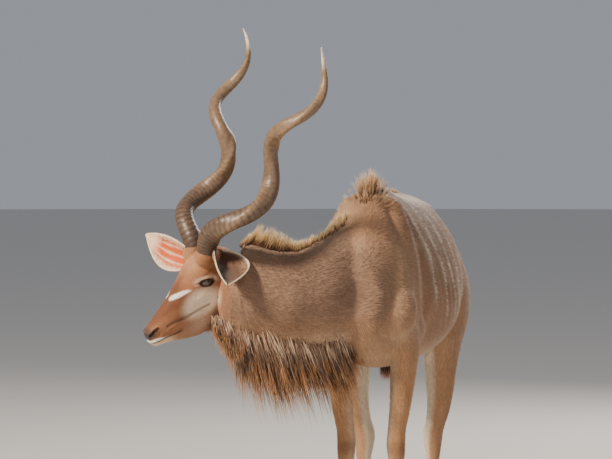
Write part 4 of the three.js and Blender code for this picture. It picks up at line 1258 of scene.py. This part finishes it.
# Crest: bristles down the spine, rooted in the hide over the bone. They stand in a fan at the withers
# and lie low and swept back over the loin, dark at the root and pale at the tip.
places, ways, falls, lengths = [], [], [], []
for y in np.linspace(-470, 640, 260):
    section = torso_section(y)
    fan = 9 * float(ease(-330, -400, y)) + 1.6
    for _ in range(3 if y < -340 else 2):
        aside = draw.normal()
        spot, out = on_oval(section, 90 + aside * fan)
        tall = np.interp(y, [-470, -440, -390, -340, -280, 500, 640], [56, 92, 92, 62, 34, 28, 18])
        places.append(spot - out * 6)
        ways.append(unit(out + 0.16 * draw.normal(size=3) + np.array([0, 0.2, 0])))
        lean = np.interp(y, [-450, -330, -260], [0.2, 0.7, 2.2])
        falls.append(out + np.array([0, lean, 0]) + 0.16 * draw.normal(size=3))
        lengths.append((tall + 5) * draw.uniform(0.6, 1.1) * (1 - 0.12 * min(2, abs(aside))))
crest_tones = [srgb(96, 66, 46), srgb(124, 88, 62), srgb(196, 152, 104), srgb(240, 216, 176)]
locks("crest_hair", places, ways, falls, lengths, 7, 8, 2.2, crest_tones, segments=5, gather=0.7)

# Throat fringe: long soft hair that hangs from the underside of the neck, from the jaw to the brisket,
# in bundles. It is pale at the root, dark brown in the middle and cream to orange at the ends.
places, ways, falls, lengths, tones = [], [], [], [], []
fringe_length = 318
# [angle round the neck, share of the full length]
fringe_hang = [(-120, 0.45), (-112, 0.62), (-104, 0.85), (-96, 1), (-90, 1), (-84, 1), (-76, 0.85),
               (-68, 0.62), (-60, 0.45)]
for share in np.linspace(0, 1, 150):
    t = 0.87 + (0.27 - 0.87) * share
    section = neck_section(t)
    clump = 0.72 + 0.34 * abs(math.sin(share * 41 + 0.6 * math.sin(share * 97)))
    for angle, reach in fringe_hang:
        spot, out = on_oval(section, angle + draw.normal() * 5)
        along_throat = np.interp(share, [0, 0.16, 0.3, 0.5, 0.8, 1], [0.26, 0.46, 1.02, 1.06, 0.9, 0.45])
        long = fringe_length * reach * along_throat
        places.append(spot - out * 6)
        hang = np.array([0.0, 0.0, -1]) - 0.36 * curve_at(neck_path, t)[1]
        ways.append(unit(out * (0.9 * reach - 0.25) + hang * (1.25 - reach) + 0.06 * draw.normal(size=3)))
        falls.append(hang + 0.05 * draw.normal(size=3))
        lengths.append(long * clump * draw.uniform(0.66, 1.04))
        bundle = math.sin(share * 88 + 1.5 * math.sin(share * 31))
        dark = np.clip(0.78 + 0.5 * bundle + 0.25 * draw.normal(), 0, 1)
        pale = draw.uniform(0, 1) ** 1.5
        root_tone = srgb(146, 108, 84) * (1 - pale) + srgb(228, 196, 166) * pale
        if reach < 0.6:
            near_tip = srgb(92, 62, 46) * dark + root_tone * (1 - dark)
            tones.append([srgb(134, 100, 78), root_tone, root_tone, root_tone, near_tip, root_tone])
        else:
            tones.append(
                [
                    root_tone,
                    root_tone,
                    srgb(78, 52, 38) * dark + root_tone * (1 - dark),
                    srgb(36, 24, 18) * dark + srgb(184, 124, 76) * (1 - dark),
                    srgb(200, 126, 64) * (1 - 0.5 * dark) + srgb(84, 52, 34) * 0.5 * dark,
                    srgb(244, 206, 150),
                ]
            )
for name, part in (("fringe_hair_1", slice(0, None, 2)), ("fringe_hair_2", slice(1, None, 2))):
    locks(
        name, places[part], ways[part], falls[part], lengths[part], 4, 12, 3.2, tones[part], segments=8,
        gather=1.2, wave=0.02,
    )

# Beard: thinner and shorter hair that carries the fringe on under the jaw, rooted in the skin between
# the jawbones, with orange ends.
places, ways, falls, lengths = [], [], [], []
for x in np.linspace(-80, 96, 50):
    section = head_section(x)
    for _ in range(2):
        spot, out = on_oval(section, -90 + draw.normal() * 10)
        places.append(head_to_body(spot) - (out @ head_axes.T) * 3)
        ways.append(unit(out @ head_axes.T + 0.1 * draw.normal(size=3)))
        falls.append(np.array([0.12, 0.1, -1]) + 0.1 * draw.normal(size=3))
        lengths.append(np.interp(x, [-80, -20, 50, 96], [150, 110, 60, 22]) * draw.uniform(0.6, 1.05))
beard_tones = [
    srgb(170, 126, 92), srgb(150, 104, 72), srgb(120, 80, 54), srgb(206, 146, 88), srgb(240, 206, 158),
]
locks("beard_hair", places, ways, falls, lengths, 4, 9, 2.4, beard_tones, segments=7, gather=0.9)

# Tail brush: hair rooted all round the tail, short above and longer to the tip. It is brown behind,
# white in front, and nearly black at the end.
places, ways, falls, lengths, tones = [], [], [], [], []
for t in np.linspace(0.42, 0.99, 90):
    section = tail_section(t)
    for angle in draw.uniform(0, 360, 3):
        spot, out = on_oval(section, angle)
        places.append(spot - out * 3)
        ways.append(unit(out * 0.7 + np.array([0, 0.05, -1])))
        falls.append(out * 0.15 + np.array([0, 0.02, -1]))
        lengths.append(np.interp(t, [0.42, 0.7, 1], [34, 80, 118]) * draw.uniform(0.75, 1.05))
        pale = float(ease(0.2, -0.4, out[1]))
        root_tone = srgb(120, 84, 60) * (1 - pale) + srgb(236, 224, 204) * pale
        end_tone = srgb(46, 34, 28) if t > 0.8 else root_tone * 0.9
        tones.append([root_tone, root_tone, root_tone * 0.8 + end_tone * 0.2, end_tone])
locks("tail_hair", places, ways, falls, lengths, 8, 7, 3.0, tones, segments=5)

# Sheath tuft: a small dark tuft of hair with an orange tip, hanging from the skin of the belly's
# midline just ahead of the hind legs.
places = [np.array([draw.normal() * 8, 130 + draw.uniform(-50, 40), 748]) for _ in range(34)]
ways = [unit(np.array([0.1 * draw.normal(), 0.1 * draw.normal(), -1.0])) for _ in places]
sheath_tones = [srgb(92, 62, 44), srgb(66, 44, 34), srgb(96, 60, 38), srgb(212, 140, 78)]
lengths = [84 * draw.uniform(0.6, 1.05) for _ in places]
locks("sheath_hair", places, ways, ways, lengths, 9, 12, 2.4, sheath_tones)

# Ear hair: long hair stands in the cup from its floor and its edges, painted dark brown in the left ear
# as the shade in its cup, and pale in the right, and a short white fringe edges both.
places, ways, falls, lengths, tones = [], [], [], [], []
rim_places, rim_ways, rim_falls, rim_lengths = [], [], [], []
cup_tones = [srgb(214, 176, 140), srgb(240, 218, 190), srgb(250, 238, 220)]
for name, (outer, inner, axes) in ear_maps.items():
    count = inner.shape[0]
    for _ in range(200):
        i = int(draw.uniform(0.16, 0.8) * count)
        side_share = draw.choice([-1, 1]) * draw.beta(5, 1.5)
        j = int(np.clip((side_share * 0.5 + 0.5) * (ear_arc - 1), 0, ear_arc - 1))
        mid = ear_arc // 2
        inward = unit(inner[i, mid] - inner[i, j] + axes[:, 2] * 22)
        places.append(inner[i, j])
        ways.append(unit(inward + 0.5 * axes[:, 0] + 0.15 * draw.normal(size=3)))
        falls.append(inward * 0.6 + axes[:, 0] * 0.9 + 0.2 * draw.normal(size=3))
        lengths.append(draw.uniform(10, 24))
        # The left ear's hair is painted dark brown: painted shade in its cup.
        tones.append([srgb(84, 58, 44)] * 2 + [srgb(120, 88, 66)] if name == "ear_left" else cup_tones)
    for edge in (0, ear_arc - 1):
        for i in range(int(0.12 * count), count - 1):
            for _ in range(5):
                spot = outer[i, edge] + (outer[i + 1, edge] - outer[i, edge]) * draw.uniform(0, 1)
                outwards = unit(outer[i, edge] - outer[i, ear_arc // 2])
                rim_places.append(spot)
                rim_way = outwards * 0.5 + axes[:, 2] * 0.4 + axes[:, 0] * 0.5
                rim_ways.append(unit(rim_way + 0.15 * draw.normal(size=3)))
                rim_falls.append(outwards * 0.25 + axes[:, 0] + 0.2 * draw.normal(size=3))
                rim_lengths.append(draw.uniform(3, 8))
locks("ear_cup_hair", places, ways, falls, lengths, 3, 4, 1.0, tones, segments=4)
locks("ear_rim_hair", rim_places, rim_ways, rim_falls, rim_lengths, 2, 2, 1.3, cup_tones, segments=3)

# Lashes: short dark hair in the edge of each upper lid, standing out over the eye and drooping a
# little at the ends.
places, ways, falls, lengths = [], [], [], []
for sign in (1, -1):
    for a in np.linspace(-24, 24, 40):
        b = lid_rise * max(0, 1 - (a / lid_half) ** 2) ** 0.75 + 1.0
        c, s = math.cos(lid_tilt), math.sin(lid_tilt)
        flat_reach = math.sqrt(max(1, socket_radius**2 - a**2 - b**2))
        spot = np.array([5 + a * c - b * s, flat_reach, a * s + b * c]) + eye_at
        places.append(head_to_body(spot * [1, sign, 1]))
        ways.append(unit((np.array([0.1, 1, 0.25]) * [1, sign, 1]) @ head_axes.T))
        droop = (np.array([0.15, 0.8, -0.35]) * [1, sign, 1]) @ head_axes.T
        falls.append(droop + 0.1 * draw.normal(size=3))
        lengths.append(draw.uniform(9, 14))
lash_tones = [srgb(34, 24, 20), srgb(30, 22, 18), srgb(40, 28, 22)]
locks("lash_hair", places, ways, falls, lengths, 3, 1.5, 0.9, lash_tones, segments=4)


# The short coat: flat-lying hair all over, in thin overlapping tufts that follow its lie, longer on
# the neck and body and shortest on the face and the lower legs.
skin_data.calc_loop_triangles()
triangle = np.empty(len(skin_data.loop_triangles) * 3, int)
skin_data.loop_triangles.foreach_get("vertices", triangle)
triangle = triangle.reshape(-1, 3)
skin_mm = from_row(skin_place)
corner = skin_mm[triangle]
spread_of = np.cross(corner[:, 1] - corner[:, 0], corner[:, 2] - corner[:, 0])
area = np.linalg.norm(spread_of, axis=1) / 2
middle = corner.mean(1)
face_share = ease(0, 60, (middle - (seam_at + seam_way * 20)) @ seam_way)
middle_head = body_to_head(middle)
hm = np.stack([middle_head[:, 0], np.abs(middle_head[:, 1]), middle_head[:, 2]], 1)
along_lid, over_lid = lid_frame(hm - eye_at)
in_eye = (np.linalg.norm(hm - eye_at, axis=1) < 34) & (np.hypot(along_lid / 28, over_lid / 14.5) < 1)
bare = (
    in_eye
    | (off_line(hm, slot_line) < 10) & (hm[:, 0] > 240)
    | ((hm[:, 0] > 283) & (hm[:, 2] > -54) & (face_share > 0.5))
    | (middle[:, 2] < 68)
)
low_leg = ease(720, 480, middle[:, 2])
tuft_count = 150000
density = (1 - face_share) * (1 + 1.2 * low_leg) + face_share * 5.0
density = density * ~bare
wanted = int(tuft_count * few)
pick = draw.choice(len(area), wanted, p=area * density / (area * density).sum())
w = draw.dirichlet([1, 1, 1], wanted)
root = (corner[pick] * w[..., None]).sum(1)
root_normal = unit((skin_normal[triangle[pick]] * w[..., None]).sum(1))
root_head = face_share[pick]
root_leg = low_leg[pick]
nose_share = ease(120, 260, middle_head[pick, 0]) * root_head
size = (1 - root_head) * (24 - 12 * root_leg) + root_head * (9.5 - 4.5 * nose_share)
size = size * draw.uniform(0.75, 1.2, wanted)
lie = lay_of_hair(root)
lie = lie - (lie * root_normal).sum(1, keepdims=True) * root_normal
lie = unit(unit(lie) + 0.22 * draw.normal(size=lie.shape))
lie = unit(lie - (lie * root_normal).sum(1, keepdims=True) * root_normal)
lift = draw.uniform(0.10, 0.24, wanted)
heading = unit(lie + root_normal * lift[:, None])
across = np.cross(root_normal, lie)
girth = size * 0.17
base = root - root_normal * 1.2
points = np.stack(
    [
        base - across * girth[:, None] * 0.5,
        base + across * girth[:, None] * 0.5,
        base + root_normal * (girth * 0.55)[:, None] - lie * (girth * 0.5)[:, None],
        root + heading * size[:, None],
    ],
    axis=1,
)
tuft_faces = np.array([[0, 1, 3], [1, 2, 3], [2, 0, 3], [0, 2, 1]])
tone = coat_colour(root, root_normal) * draw.uniform(0.82, 1.16, (wanted, 1))
# Each tuft is painted darker towards its root, as painted shade among the hairs, and lighter at its tip.
tone = np.repeat(tone[:, None], 4, axis=1) * np.array([0.8, 0.8, 0.9, 1.12])[None, :, None]
fanned = np.stack([-across, across, root_normal, heading * 0.3], 1)
soft = unit(np.repeat(root_normal[:, None], 4, axis=1) + 0.35 * fanned)
per_piece = 45000
for k in range(0, wanted, per_piece):
    n = len(root[k : k + per_piece])
    block = slice(k, k + n)
    index = (np.arange(n) * 4)[:, None, None] + tuft_faces[None]
    faces_mesh(
        f"short_coat_{k // per_piece + 1}",
        points[block].reshape(-1, 3),
        [index.reshape(-1, 3)],
        tone[block].reshape(-1, 3),
        np.repeat(root[block], 4, axis=0),
        np.repeat(root_normal[block], 4, axis=0),
        soft[block].reshape(-1, 3),
    )
